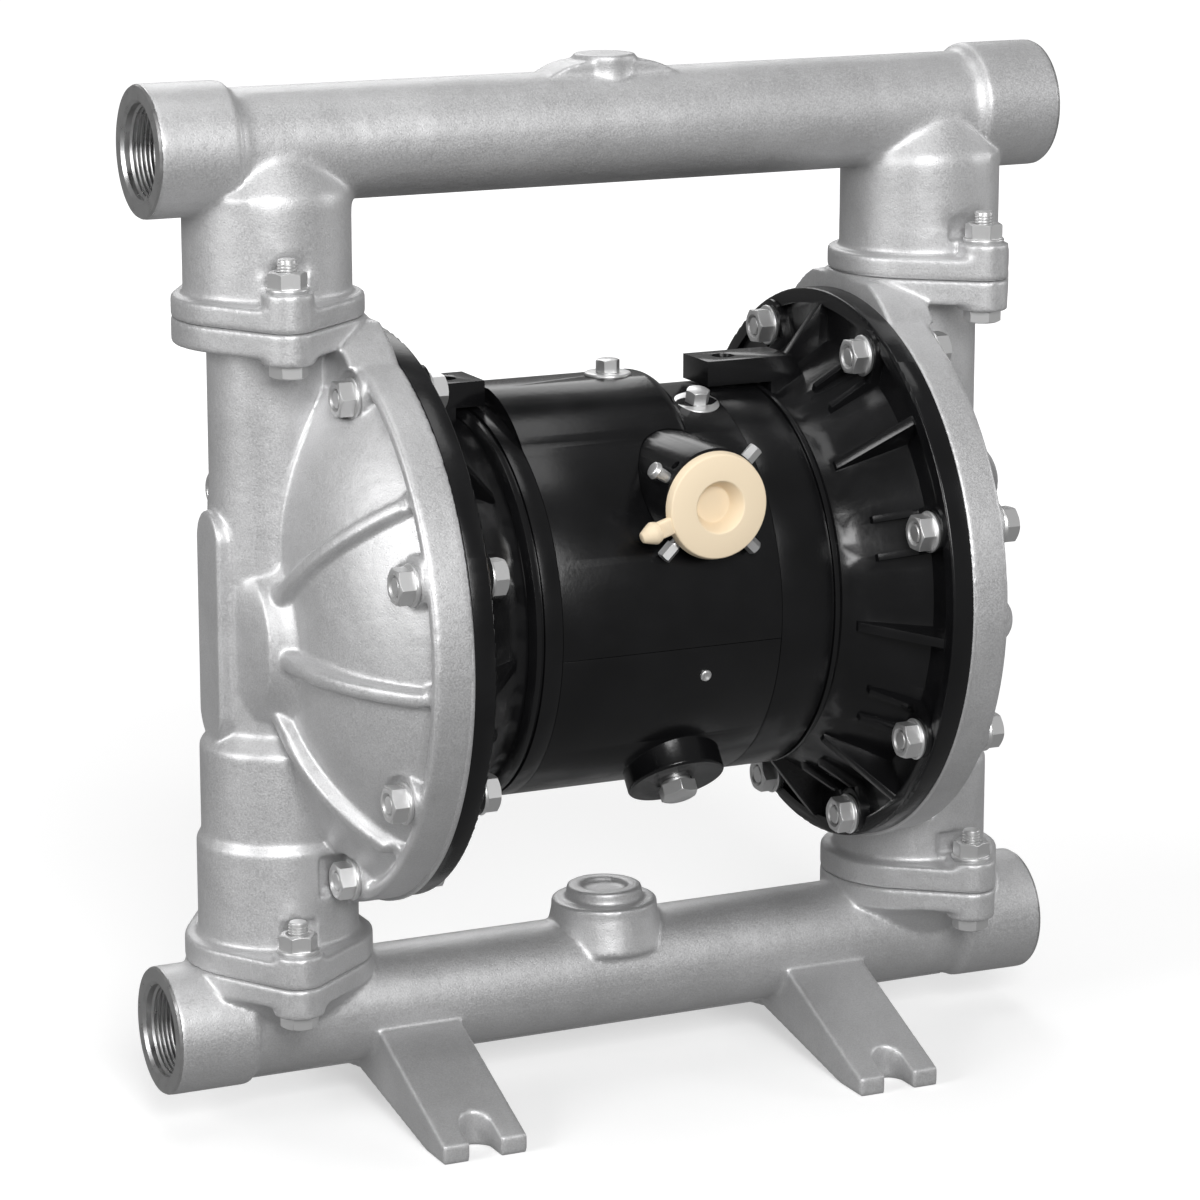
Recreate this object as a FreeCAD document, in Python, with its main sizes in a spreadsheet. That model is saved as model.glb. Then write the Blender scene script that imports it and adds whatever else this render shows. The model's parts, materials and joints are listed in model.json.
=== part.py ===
"""Air operated diaphragm pump with threaded manifolds, in millimetres.

X runs along the manifolds, +Z is up and the front, with the air inlet, faces -Y.
The origin is on the ground under the middle of the pump.
"""
import FreeCAD
import Part
import math
import os
import re
import Sketcher

Vector = FreeCAD.Vector

SIZES = {
    # Layout of the manifolds, columns and wheels
    "port_half_span": 250,
    "column_offset": 184,
    "foot_height": 52,
    "suction_branch": 33,
    "chamber_drop": 175,
    "chamber_rise": 155.5,
    "discharge_branch": 84,
    # Manifold tubes and their threaded ports
    "tube_radius": 29,
    "tube_bore": 21,
    "port_boss_radius": 33,
    "port_boss_length": 42,
    "port_boss_slope": 4,
    "port_thread_radius": 23.9,
    "port_thread_depth": 24,
    "port_mouth_chamfer": 1.5,
    # Round flanges between manifolds and chambers
    "joint_radius": 48,
    "manifold_flange": 11.5,
    "chamber_flange": 13,
    "ear_radius": 13,
    "ear_shift": 9.5,
    "ear_reach": 52,
    "manifold_ear": 19,
    "chamber_ear": 16,
    "socket_half": 14,
    "socket_height": 13,
    "branch_radius": 42,
    "branch_neck": 27,
    "branch_shoulder": 22,
    # Bosses on the middle of the tubes
    "top_boss_foot": 27,
    "top_boss_radius": 16,
    "top_boss_rise": 37,
    "top_boss_flare": 40,
    "top_boss_width": 24,
    "boss_round": 24,
    "low_boss_foot": 32,
    "low_boss_step": 28,
    "low_boss_radius": 20,
    "low_boss_dish": 12,
    "low_boss_step_rise": 39,
    "low_boss_rise": 46,
    "dish_depth": 3,
    # Feet
    "foot_offset": 118,
    "foot_width": 46,
    "foot_reach": 112,
    "foot_toe": 9.5,
    "foot_pad": 25,
    "foot_arch": 16,
    "foot_shoulder": 45,
    "foot_slot_width": 17,
    "foot_slot_depth": 21,
    # Wheels: the round flanges bolted face to face
    "wheel_radius": 146.5,
    "split_offset": 136.8,
    "cap_rim": 11.4,
    "cap_plate": 8,
    "wheel_plate": 21,
    "rim_width": 6,
    "rim_drop": 6,
    "bolt_circle": 133,
    "bolt_size": 10,
    "bolt_clearance": 0.5,
    "thread_gap": 0.05,
    "chamber_boss": 23.4,
    "cap_boss": 13.4,
    "boss_radius": 12,
    "nut_height": 8.4,
    "nut_corner": 9.8,
    "head_height": 6.6,
    "washer_radius": 10.6,
    "washer_thickness": 1.8,
    "stud_end": 3,
    "flush_end": 0.6,
    "bolt_end": 6,
    # Fluid chambers
    "dome_height": 54,
    "dome_hub": 50,
    "dome_round": 120,
    "lip_round": 1.5,
    "dome_wall": 8,
    "cavity_radius": 106,
    "cavity_wall": 15,
    "column_radius": 31,
    "column_bore": 25,
    "lower_column": 38.5,
    "cage_radius": 41,
    "cage_height": 63,
    "cage_bore": 34,
    "lower_column_top": 62,
    "pad_reach": 35,
    "pad_width": 30,
    "pad_half_height": 59,
    "pad_depth": 8,
    "hub_drop": 8,
    "hub_base": 64,
    "hub_crest": 44,
    "hub_rise": 12,
    "hub_round": 26,
    "slope_half_height": 50,
    "rib_thickness": 9,
    "rib_crest": 16,
    "rib_inner": 30,
    "rib_round": 160,
    "rib_edge": 3,
    "shoulder_crest": 30,
    "shoulder_foot": 55,
    # Air caps
    "body_half": 87.5,
    "neck_radius": 98,
    "neck_step": 5,
    "neck_flare": 106,
    "neck_length": 19,
    "cap_cone": 120,
    "cap_floor": 24,
    "cap_floor_radius": 62,
    "gusset_thickness": 5,
    "gusset_start": 8,
    "web_wall": 3.5,
    "lug_width": 29,
    "lug_base": 103,
    "lug_top": 116,
    "lug_tip_right": 35,
    "lug_tip_left": 14,
    "lug_hole": 6,
    "lug_hole_inset": 16,
    # Centre body and its covers
    "body_radius": 102,
    "core_radius": 84,
    "cover_wall": 6,
    "ledge": 6,
    "left_seam": 70.5,
    "right_seam": 51.6,
    "cover_gap": 0.3,
    "cover_split": 11.6,
    "collar_groove": 81,
    "groove_size": 2,
    "collar_chamfer": 3,
    "top_pad_rise": 111,
    "top_pad_round": 70,
    "top_pad_flat": 1,
    "top_pad_end": 27,
    "top_pad_end_round": 10,
    "inlet_shift": 11,
    "inlet_rise": 63.3,
    "inlet_boss_radius": 27,
    "inlet_reach": 105,
    "inlet_thread": 15,
    "inlet_depth": 26,
    "inlet_passage": 7,
    "exhaust_rise": 40,
    "exhaust_radius": 24,
    "exhaust_reach": 108,
    "exhaust_thread": 16,
    "exhaust_depth": 22,
    # Inlet plug and the screws round the inlet
    "plug_radius": 27.7,
    "plug_rim": 7,
    "plug_fit": 0.3,
    "plug_length": 18,
    "plug_recess": 12.5,
    "plug_recess_depth": 12,
    "tab_length": 19,
    "tab_width": 9,
    "tab_thickness": 4,
    "knob_radius": 5,
    "knob_length": 8,
    "inlet_screw_reach": 38,
    "inlet_screw_size": 2.5,
    "inlet_screw_head": 4.3,
    "inlet_screw_head_length": 8.5,
    "inlet_screw_depth": 6,
    "inlet_screw_setback": 5,
    # Drain boss under the front of the lower cover
    "drain_shift": 9,
    "drain_radius": 25.5,
    "drain_rise": 11,
    "drain_edge": 1.5,
    "drain_hex": 10.2,
    "drain_hex_height": 7,
    "drain_thread": 8,
    "drain_plug_length": 12,
    # Cover fasteners
    "cover_bolt_size": 6,
    "cover_bolt_corner": 6.4,
    "cover_bolt_head": 7,
    "cover_washer": 11.5,
    "cover_washer_thickness": 1.4,
    "cover_bolt_grip": 12,
    "pad_bolt_shift": 2,
    "flank_bolt_shift": 40,
    # Diaphragms, their plates and the rod
    "diaphragm_rim": 122,
    "rim_fit": 0.3,
    "diaphragm_thickness": 4,
    "roll_radius": 82,
    "roll_depth": 12,
    "plate_radius": 52,
    "outer_plate": 12,
    "inner_plate": 8,
    "plate_gap": 0.3,
    "rod_radius": 10,
    "rod_fit": 0.05,
    "bush_wall": 3,
    "bush_length": 24,
    "seal_length": 4,
    "plate_bolt_corner": 11.5,
    "plate_bolt_head": 8,
    # Ball valves
    "ball_radius": 25,
    "ball_gap": 0.25,
    "ball_lift": 11,
    "guide_gap": 1.2,
    "guide_thickness": 6,
    "guide_start": 8,
    "stop_bore": 12,
    "stop_height": 7,
    "seat_radius": 33,
    "seat_bore": 19,
    "seat_mouth": 21.5,
    "seat_height": 10,
    "seat_fit": 0.2,
    # Air valve
    "valve_rise": 38,
    "sleeve_radius": 14,
    "spool_radius": 9,
    "spool_fit": 0.04,
    "spool_neck": 6,
    "spool_half": 40,
    "spool_land": 8,
    "sleeve_half": 56,
    "sleeve_port": 3.5,
    "valve_cap_length": 6,
    "pilot_drop": 38,
    "pilot_radius": 4,
    "pilot_bush_radius": 7,
    "pilot_bush_length": 14,
    "pilot_length": 34,
    "pilot_travel": 5,
}
BOLT_ANGLES = (-70.5, -30.5, 19, 66.5)
GUIDES = 4
RIB_ANGLES = (38, -1.5, -44)
DRAIN_TILT = 53
INLET_SCREW_ANGLES = (45, 135, 225, 315)
INLET_TAB_ANGLE = 197
FLANK_BOLT_LEAN = 15

LOW_JOINT = "(foot_height + suction_branch)"
AXIS = "(foot_height + suction_branch + chamber_drop)"
HIGH_JOINT = "(foot_height + suction_branch + chamber_drop + chamber_rise)"
DISCHARGE = "(foot_height + suction_branch + chamber_drop + chamber_rise + discharge_branch)"
BALL_HEIGHT = "(sqrt(2)*(ball_radius + ball_gap) - seat_mouth)"
BALL_STOP = "(sqrt(2)*(ball_radius + ball_gap) - seat_mouth + ball_radius + ball_lift)"
CHAMBER_BOSS_TOP = "(split_offset + chamber_boss)"
CAP_BOSS_TOP = "(split_offset - cap_boss)"
NUT_BORE = "bolt_size/2 + thread_gap"
BOLT_HOLE = "bolt_size/2 + bolt_clearance"
DOME_TOP = "(split_offset + dome_height)"
CAP_FLOOR = "(split_offset - cap_floor)"

os.makedirs("parts", exist_ok=True)
doc = FreeCAD.newDocument("Pump")
sheet = doc.addObject("Spreadsheet::Sheet", "Sizes")
nodes = []


def fill_sheet():
    """Writes each size and its name into the sheet."""
    for row, (name, size) in enumerate(SIZES.items(), 1):
        sheet.set(f"A{row}", name)
        sheet.set(f"B{row}", str(size))
        sheet.setAlias(f"B{row}", name)
    doc.recompute()


def bound(expression):
    """Points each size name in an expression at its cell."""
    def cell(word):
        return "Sizes." + word.group(0) if word.group(0) in SIZES else word.group(0)
    return re.sub(r"[a-z_]+", cell, expression)


def value(expression):
    """Works out an expression from the sheet."""
    result = sheet.evalExpression(expression)
    return float(getattr(result, "Value", result))


def drive(thing, **sizes):
    """Binds properties of a feature to expressions."""
    for name, expression in sizes.items():
        thing.setExpression(name, bound(expression))


AIMS = {
    "X": Vector(1, 0, 0),
    "-X": Vector(-1, 0, 0),
    "Y": Vector(0, 1, 0),
    "-Y": Vector(0, -1, 0),
    "Z": Vector(0, 0, 1),
    "-Z": Vector(0, 0, -1),
}


def aimed(direction):
    """The turn that takes +Z to a named or given direction."""
    if isinstance(direction, str):
        direction = AIMS[direction]
    return FreeCAD.Rotation(Vector(0, 0, 1), direction)


def place(thing, at, turn=None):
    """Turns a feature, and binds its place to three expressions."""
    thing.Placement = FreeCAD.Placement(Vector(), turn or FreeCAD.Rotation())
    for axis, expression in zip("xyz", at):
        thing.setExpression("Placement.Base." + axis, bound(expression))


def origin_feature(body, role):
    """A body's own plane or axis."""
    return next(feature for feature in body.Origin.OriginFeatures if feature.Role == role)


def new_body(name, at=("0", "0", "0"), turn=None):
    body = doc.addObject("PartDesign::Body", name)
    body.Label = name
    place(body, at, turn)
    return body


def new_sketch(body, plane):
    sketch = body.newObject("Sketcher::SketchObject", body.Name + "_sketch")
    sketch.AttachmentSupport = [(origin_feature(body, plane + "_Plane"), "")]
    sketch.MapMode = "FlatFace"
    return sketch


def hold(sketch, kind, edge, point, expression):
    """Binds one coordinate of a sketch point."""
    number = sketch.addConstraint(Sketcher.Constraint(kind, -1, 1, edge, point, value(expression)))
    sketch.setExpression(f"Constraints[{number}]", bound(expression))


def arc_between(start, end, radius):
    """An arc of a radius that bows to the left of the way from start to end, or to the right if negative."""
    chord = end - start
    half = chord.Length / 2
    bow = abs(radius) - math.sqrt(radius ** 2 - half ** 2)
    left = Vector(-chord.y, chord.x, 0).normalize()
    return Part.Arc(start, start + chord / 2 + left * math.copysign(bow, radius), end)


def draw_outline(sketch, corners):
    """Draws a closed outline and holds its corners; a third item bows the next edge to a radius."""
    places = [Vector(value(corner[0]), value(corner[1]), 0) for corner in corners]
    first = sketch.GeometryCount
    count = len(corners)
    for index, corner in enumerate(corners):
        start, end = places[index], places[(index + 1) % count]
        edge = Part.LineSegment(start, end) if len(corner) == 2 else arc_between(start, end, value(corner[2]))
        sketch.addGeometry(edge, False)

    def tip(index, spot):
        """Which end of an edge lies at a spot."""
        return 1 if sketch.getPoint(first + index, 1).distanceToPoint(spot) < 1e-6 else 2

    for index, corner in enumerate(corners):
        before = (index - 1) % count
        spot = places[index]
        sketch.addConstraint(Sketcher.Constraint(
            "Coincident", first + before, tip(before, spot), first + index, tip(index, spot)))
    for index, corner in enumerate(corners):
        hold(sketch, "DistanceX", first + index, tip(index, places[index]), corner[0])
        hold(sketch, "DistanceY", first + index, tip(index, places[index]), corner[1])
        if len(corner) == 3:
            number = sketch.addConstraint(Sketcher.Constraint("Radius", first + index, abs(value(corner[2]))))
            sketch.setExpression(f"Constraints[{number}]", bound(f"abs({corner[2]})"))


def draw_circle(sketch, across, along, radius):
    """Draws a circle and holds its centre and radius."""
    centre = Vector(value(across), value(along), 0)
    edge = sketch.addGeometry(Part.Circle(centre, Vector(0, 0, 1), value(radius)), False)
    hold(sketch, "DistanceX", edge, 3, across)
    hold(sketch, "DistanceY", edge, 3, along)
    number = sketch.addConstraint(Sketcher.Constraint("Radius", edge, value(radius)))
    sketch.setExpression(f"Constraints[{number}]", bound(radius))


def hexagon(across, along, corner):
    """Six corners round a centre."""
    return [
        (f"{across} + ({corner})*cos({angle})", f"{along} + ({corner})*sin({angle})")
        for angle in range(30, 390, 60)
    ]


def circle_edge(shape, radius, height):
    """The name of the circular edge of a turned shape at a radius and height."""
    for number, edge in enumerate(shape.Edges, 1):
        curve = edge.Curve
        if curve.TypeId != "Part::GeomCircle":
            continue
        if math.isclose(curve.Radius, radius, abs_tol=1e-4) and math.isclose(curve.Center.z, height, abs_tol=1e-4):
            return f"Edge{number}"
    raise RuntimeError("no circular edge at that radius and height")


def turned(name, corners, at=("0", "0", "0"), aim="Z", rounds=()):
    """Spins an outline of radius and height pairs about its axis, and rounds chosen corners."""
    body = new_body(name, at, aimed(aim))
    sketch = new_sketch(body, "XZ")
    draw_outline(sketch, corners)
    spin = body.newObject("PartDesign::Revolution", name + "_spin")
    spin.Profile = sketch
    spin.ReferenceAxis = (sketch, ["V_Axis"])
    spin.Angle = 360
    doc.recompute()
    tip = spin
    for radius, chosen in rounds:
        edges = [circle_edge(tip.Shape, value(corners[corner][0]), value(corners[corner][1])) for corner in chosen]
        fillet = body.newObject("PartDesign::Fillet", name + "_round")
        fillet.Base = (tip, edges)
        drive(fillet, Radius=radius)
        doc.recompute()
        tip = fillet
    body.Tip = tip
    return body


def slab(name, corners, thickness, plane="XZ", at=("0", "0", "0"), turn=None, symmetric=True):
    """Pads an outline, half to each side of its plane or all to its front."""
    body = new_body(name, at, turn)
    sketch = new_sketch(body, plane)
    draw_outline(sketch, corners)
    pad = body.newObject("PartDesign::Pad", name + "_pad")
    pad.Profile = sketch
    pad.Midplane = symmetric
    drive(pad, Length=thickness)
    doc.recompute()
    return body


def wheel_angles():
    """The angles of the wheel's bolts, up from the front, with the rear half a mirror image."""
    return sorted(angle for front in BOLT_ANGLES for angle in (front, 180 - front))


def between_bolts():
    """The angles midway between neighbouring bolts."""
    angles = wheel_angles()
    following = angles[1:] + [angles[0] + 360]
    return [(angle + after) / 2 for angle, after in zip(angles, following)]


def upturned(angle):
    """The turn about X that takes +Z to an angle up from the front."""
    return FreeCAD.Rotation(AIMS["X"], 90 - angle)


def wheel_ring(name, start, length, outer, bore=None, sides=0):
    """A ring of equal rods, nuts or washers on the wheel's bolt circle, from start along X."""
    body = new_body(name, (start, "0", AXIS))
    sketch = new_sketch(body, "YZ")
    for angle in wheel_angles():
        across, along = f"-bolt_circle*cos({angle})", f"bolt_circle*sin({angle})"
        if sides:
            draw_outline(sketch, hexagon(across, along, outer))
        else:
            draw_circle(sketch, across, along, outer)
        if bore:
            draw_circle(sketch, across, along, bore)
    pad = body.newObject("PartDesign::Pad", name + "_pad")
    pad.Profile = sketch
    drive(pad, Length=length)
    doc.recompute()
    return body


def round_arc_edges(body, bend, size):
    """Rounds the edges of a body that follow an arc of one radius."""
    bend = value(bend)
    base = body.Tip
    edges = [
        f"Edge{number}"
        for number, edge in enumerate(base.Shape.Edges, 1)
        if edge.Curve.TypeId == "Part::GeomCircle" and math.isclose(edge.Curve.Radius, bend, abs_tol=1e-4)
    ]
    fillet = body.newObject("PartDesign::Fillet", body.Name + "_edges")
    fillet.Base = (base, edges)
    drive(fillet, Radius=size)
    doc.recompute()
    return body


def loft(name, sections):
    """A straight-sided loft between outlines that face along X, each given with its place."""
    faces = []
    for number, (corners, at) in enumerate(sections):
        sketch = doc.addObject("Sketcher::SketchObject", f"{name}_section_{number}")
        place(sketch, at, FreeCAD.Rotation(Vector(1, 1, 1), 120))
        draw_outline(sketch, corners)
        faces.append(sketch)
    doc.recompute()
    solid = doc.addObject("Part::Loft", name)
    solid.Label = name
    solid.Sections = faces
    solid.Solid = True
    solid.Ruled = True
    return solid


def cylinder(name, radius, length, at, aim="Z"):
    rod = doc.addObject("Part::Cylinder", name)
    rod.Label = name
    drive(rod, Radius=radius, Height=length)
    place(rod, at, aimed(aim))
    return rod


def prism(name, corner, length, at, aim="Z"):
    """A hexagonal bar."""
    bar = doc.addObject("Part::Prism", name)
    bar.Label = name
    bar.Polygon = 6
    drive(bar, Circumradius=corner, Height=length)
    place(bar, at, aimed(aim))
    return bar


def block(name, low, high):
    """A box between two corners."""
    box = doc.addObject("Part::Box", name)
    box.Label = name
    sides = [f"({end}) - ({start})" for start, end in zip(low, high)]
    drive(box, Length=sides[0], Width=sides[1], Height=sides[2])
    place(box, low)
    return box


def fuse(name, pieces):
    whole = doc.addObject("Part::MultiFuse", name)
    whole.Label = name
    whole.Shapes = pieces
    return whole


def cut(name, base, tools):
    """Takes several tools out of a base."""
    result = doc.addObject("Part::Cut", name)
    result.Label = name
    result.Base = base
    result.Tool = tools[0] if len(tools) == 1 else group(name + "_tools", tools)
    return result


def common(name, base, tool):
    result = doc.addObject("Part::Common", name)
    result.Label = name
    result.Base = base
    result.Tool = tool
    return result


def mirror(name, source, normal=(1, 0, 0), base=(0, 0, 0)):
    image = doc.addObject("Part::Mirroring", name)
    image.Label = name
    image.Source = source
    image.Normal = normal
    image.Base = base
    return image


def group(name, pieces):
    """Separate solids under one name."""
    whole = doc.addObject("Part::Compound", name)
    whole.Label = name
    whole.Links = pieces
    return whole


def pair(name, source, normal=(1, 0, 0)):
    """A piece and its mirror image as one group."""
    return group(name, [source, mirror(name + "_image", source, normal)])


def four(name, source):
    """A piece repeated in the four quarters of the plan."""
    return pair(name, pair(name + "_half", source, (0, 1, 0)))


def node(*pieces):
    """Lists finished pieces for export."""
    nodes.extend(pieces)
    return pieces[0]


def node_both_sides(name, right):
    """Lists a right-hand piece and its mirror image on the left."""
    right.Label = "right_" + name
    return node(right, mirror("left_" + name, right))


def column(height):
    """The place on the right column's axis at a height."""
    return ("column_offset", "0", height)


def ears(name, joint, height, flange, upward):
    """The bolt ears of both columns' flanges on one side of a joint."""
    aim = "Z" if upward else "-Z"
    spot = ("column_offset + ear_shift", "-ear_reach", joint)
    ear = cylinder(name + "_ear", "ear_radius", height, spot, aim)
    reach = "hypot(ear_shift; ear_reach)"
    lean = f"acos((joint_radius - ear_radius)/{reach})"
    corners = [
        (f"joint_radius*cos({lean})", f"-joint_radius*sin({lean})"),
        (f"{reach} + ear_radius*cos({lean})", f"-ear_radius*sin({lean})"),
        (f"{reach} + ear_radius*cos({lean})", f"ear_radius*sin({lean})"),
        (f"joint_radius*cos({lean})", f"joint_radius*sin({lean})"),
    ]
    base = joint if upward else f"{joint} - ({flange})"
    web = slab(name + "_web", corners, flange, "XY", column(base), symmetric=False)
    web.Placement = FreeCAD.Placement(web.Placement.Base, FreeCAD.Rotation(AIMS["Z"], -80))
    web.setExpression("Placement.Rotation.Angle", bound("atan2(-ear_reach; ear_shift)"))
    return four(name, fuse(name + "_quarter", [ear, web]))


def ear_holes(name, joint, up, down):
    """Clearance for the flange bolts and the sockets that turn them."""
    spot = ("column_offset + ear_shift", "-ear_reach", f"{joint} - ({down}) - bolt_size")
    hole = cylinder(name + "_hole", BOLT_HOLE, f"{up} + {down} + 2*bolt_size", spot)
    return four(name, hole)


def socket_pockets(name, joint, height):
    """The notch behind each nut, where a spanner turns."""
    middle = "column_offset + ear_shift"
    top = f"{joint} + {height}"
    notch = block(
        name + "_notch",
        (f"{middle} - socket_half", "-ear_reach - ear_radius - 1", top),
        (f"{middle} + socket_half", "socket_half - ear_reach", f"{top} + socket_height"),
    )
    return four(name, notch)


def manifold_tube(name, height):
    """A manifold's tube with a thicker boss at each port."""
    shoulder = "port_half_span - port_boss_length"
    corners = [
        ("0", "-port_half_span"),
        ("port_boss_radius", "-port_half_span"),
        ("port_boss_radius", f"-({shoulder})"),
        ("tube_radius", f"port_boss_slope - ({shoulder})"),
        ("tube_radius", f"{shoulder} - port_boss_slope"),
        ("port_boss_radius", shoulder),
        ("port_boss_radius", "port_half_span"),
        ("0", "port_half_span"),
    ]
    rounds = [("port_mouth_chamfer", (1, 2, 5, 6))]
    return turned(name, corners, ("0", "0", height), "X", rounds)


def port_bores(name, height):
    """The through bore of a manifold with its two threaded ports."""
    depth = "port_half_span - port_thread_depth"
    corners = [
        ("0", "-port_half_span"),
        ("port_thread_radius + port_mouth_chamfer", "-port_half_span"),
        ("port_thread_radius", "port_mouth_chamfer - port_half_span"),
        ("port_thread_radius", f"-({depth})"),
        ("tube_bore", f"-({depth})"),
        ("tube_bore", depth),
        ("port_thread_radius", depth),
        ("port_thread_radius", "port_half_span - port_mouth_chamfer"),
        ("port_thread_radius + port_mouth_chamfer", "port_half_span"),
        ("0", "port_half_span"),
    ]
    return turned(name, corners, ("0", "0", height), "X")


def ball_guides(name, joint, bore):
    """The ribs of a ball cage, which guide the ball and stop its lift."""
    inner = "ball_radius + guide_gap"
    corners = [
        (inner, "guide_start"),
        (f"{bore} + 1", "guide_start"),
        (f"{bore} + 1", f"{BALL_STOP} + stop_height"),
        ("stop_bore", f"{BALL_STOP} + stop_height"),
        ("stop_bore", BALL_STOP),
        (inner, BALL_STOP),
    ]
    ribs = [
        slab(
            f"{name}_{number}",
            corners,
            "guide_thickness",
            "XZ",
            column(joint),
            FreeCAD.Rotation(AIMS["Z"], 45 + number * 360 / GUIDES),
        )
        for number in range(GUIDES)
    ]
    return ribs


def upper_manifold():
    """The discharge manifold: tube, two branches with ball cages and a blanked middle boss."""
    branch = [
        ("0", "0"),
        ("joint_radius", "0"),
        ("joint_radius", "manifold_flange"),
        ("branch_radius", "manifold_flange"),
        ("branch_radius", "discharge_branch - branch_shoulder"),
        ("branch_neck", "discharge_branch"),
        ("0", "discharge_branch"),
    ]
    boss = [
        ("0", "0"),
        ("top_boss_foot", "0"),
        ("top_boss_foot", "tube_radius/3", "boss_round"),
        ("top_boss_radius", "top_boss_rise - 3"),
        ("top_boss_radius", "top_boss_rise"),
        ("0", "top_boss_rise"),
    ]
    wing = [
        ("-top_boss_flare", "tube_radius*0.8", "1.6*boss_round"),
        ("-top_boss_radius", "top_boss_rise - 3"),
        ("top_boss_radius", "top_boss_rise - 3", "1.6*boss_round"),
        ("top_boss_flare", "tube_radius*0.8"),
    ]
    outside = fuse("discharge_outside", [
        manifold_tube("discharge_tube", DISCHARGE),
        pair("discharge_branches", turned("discharge_branch_right", branch, column(HIGH_JOINT), "Z", [("1.5", (2,))])),
        ears("discharge_ears", HIGH_JOINT, "manifold_ear", "manifold_flange", True),
        turned("discharge_boss", boss, ("0", "0", DISCHARGE), "Z", [("1", (4,))]),
        slab("discharge_boss_wing", wing, "top_boss_width", "XZ", ("0", "0", DISCHARGE)),
    ])
    cage_outline = [
        ("0", "0"),
        ("cage_bore + 1", "0"),
        ("cage_bore + 1", "discharge_branch - branch_shoulder"),
        ("tube_bore - 1", "discharge_branch - tube_bore/2"),
        ("0", "discharge_branch - tube_bore/2"),
    ]
    cage = turned("discharge_cage", cage_outline, column(HIGH_JOINT))
    hollow = cut("discharge_hollow", outside, [
        port_bores("discharge_bore", DISCHARGE),
        pair("discharge_cages", cage),
        ear_holes("discharge_ear_holes", HIGH_JOINT, "manifold_ear", "0"),
        socket_pockets("discharge_sockets", HIGH_JOINT, "manifold_ear"),
    ])
    guides = pair("discharge_guides", fuse("discharge_guides_right", ball_guides("discharge_guide", HIGH_JOINT, "cage_bore + 1")))
    node(fuse("upper_manifold", [hollow, guides]))


def foot_outline():
    """Half of a foot's side view, from the front toe to the middle."""
    return [
        ("-foot_reach", "0"),
        ("foot_pad - foot_reach", "0"),
        ("0", "foot_arch"),
        ("foot_reach - foot_pad", "0"),
        ("foot_reach", "0"),
        ("foot_reach", "foot_toe"),
        ("tube_radius - 1", "foot_shoulder"),
        ("1 - tube_radius", "foot_shoulder"),
        ("-foot_reach", "foot_toe"),
    ]


def foot_slots():
    """The open slots in the four toes."""
    radius = "foot_slot_width/2"
    inner = f"foot_reach - foot_slot_depth + {radius}"
    root = cylinder("foot_slot_root", radius, "foot_shoulder", ("foot_offset", f"-({inner})", "-1"))
    way = block(
        "foot_slot_way",
        (f"foot_offset - {radius}", "-foot_reach - 1", "-1"),
        (f"foot_offset + {radius}", f"-({inner})", "foot_shoulder - 1"),
    )
    return four("foot_slots", fuse("foot_slot", [root, way]))


def lower_manifold():
    """The suction manifold: tube, two flanged stubs, four feet and a blanked middle boss."""
    stub = [
        ("0", "-suction_branch"),
        ("branch_neck", "-suction_branch"),
        ("joint_radius - 7", "-manifold_flange - 5"),
        ("joint_radius", "-manifold_flange"),
        ("joint_radius", "0"),
        ("0", "0"),
    ]
    boss = [
        ("0", "0"),
        ("low_boss_foot", "tube_radius*0.5"),
        ("low_boss_step", "low_boss_step_rise - 5"),
        ("low_boss_step", "low_boss_step_rise"),
        ("low_boss_radius", "low_boss_step_rise"),
        ("low_boss_radius", "low_boss_rise"),
        ("low_boss_dish", "low_boss_rise"),
        ("low_boss_dish", "low_boss_rise - dish_depth"),
        ("0", "low_boss_rise - dish_depth"),
    ]
    foot = slab("foot_right", foot_outline(), "foot_width", "YZ", ("foot_offset", "0", "0"))
    outside = fuse("suction_outside", [
        manifold_tube("suction_tube", "foot_height"),
        pair("suction_stubs", turned("suction_stub_right", stub, column(LOW_JOINT))),
        ears("suction_ears", LOW_JOINT, "chamber_ear", "manifold_flange", False),
        turned("suction_boss", boss, ("0", "0", "foot_height"), "Z", [("1.5", (3, 5))]),
        pair("feet", foot),
    ])
    throat = [
        ("0", "-suction_branch"),
        ("tube_bore - 1", "-suction_branch"),
        ("tube_bore - 1", "-seat_height"),
        ("seat_radius + seat_fit", "-seat_height"),
        ("seat_radius + seat_fit", "0"),
        ("0", "0"),
    ]
    node(cut("lower_manifold", outside, [
        port_bores("suction_bore", "foot_height"),
        pair("suction_throats", turned("suction_throat_right", throat, column(LOW_JOINT))),
        ear_holes("suction_ear_holes", LOW_JOINT, "0", "chamber_ear"),
        foot_slots(),
    ]))


def chamber_dome():
    """The bolted wheel of a fluid chamber and the cone that rises from it to the hub."""
    face = "split_offset + wheel_plate"
    corners = [
        ("0", "split_offset"),
        ("wheel_radius", "split_offset"),
        ("wheel_radius", face),
        ("wheel_radius - rim_width", face),
        ("wheel_radius - rim_width - 3", f"{face} - rim_drop", "-dome_round"),
        ("dome_hub", DOME_TOP),
        ("0", DOME_TOP),
    ]
    return turned("chamber_dome", corners, ("0", "0", AXIS), "X", [("2", (2,)), ("lip_round", (3,))])


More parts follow.
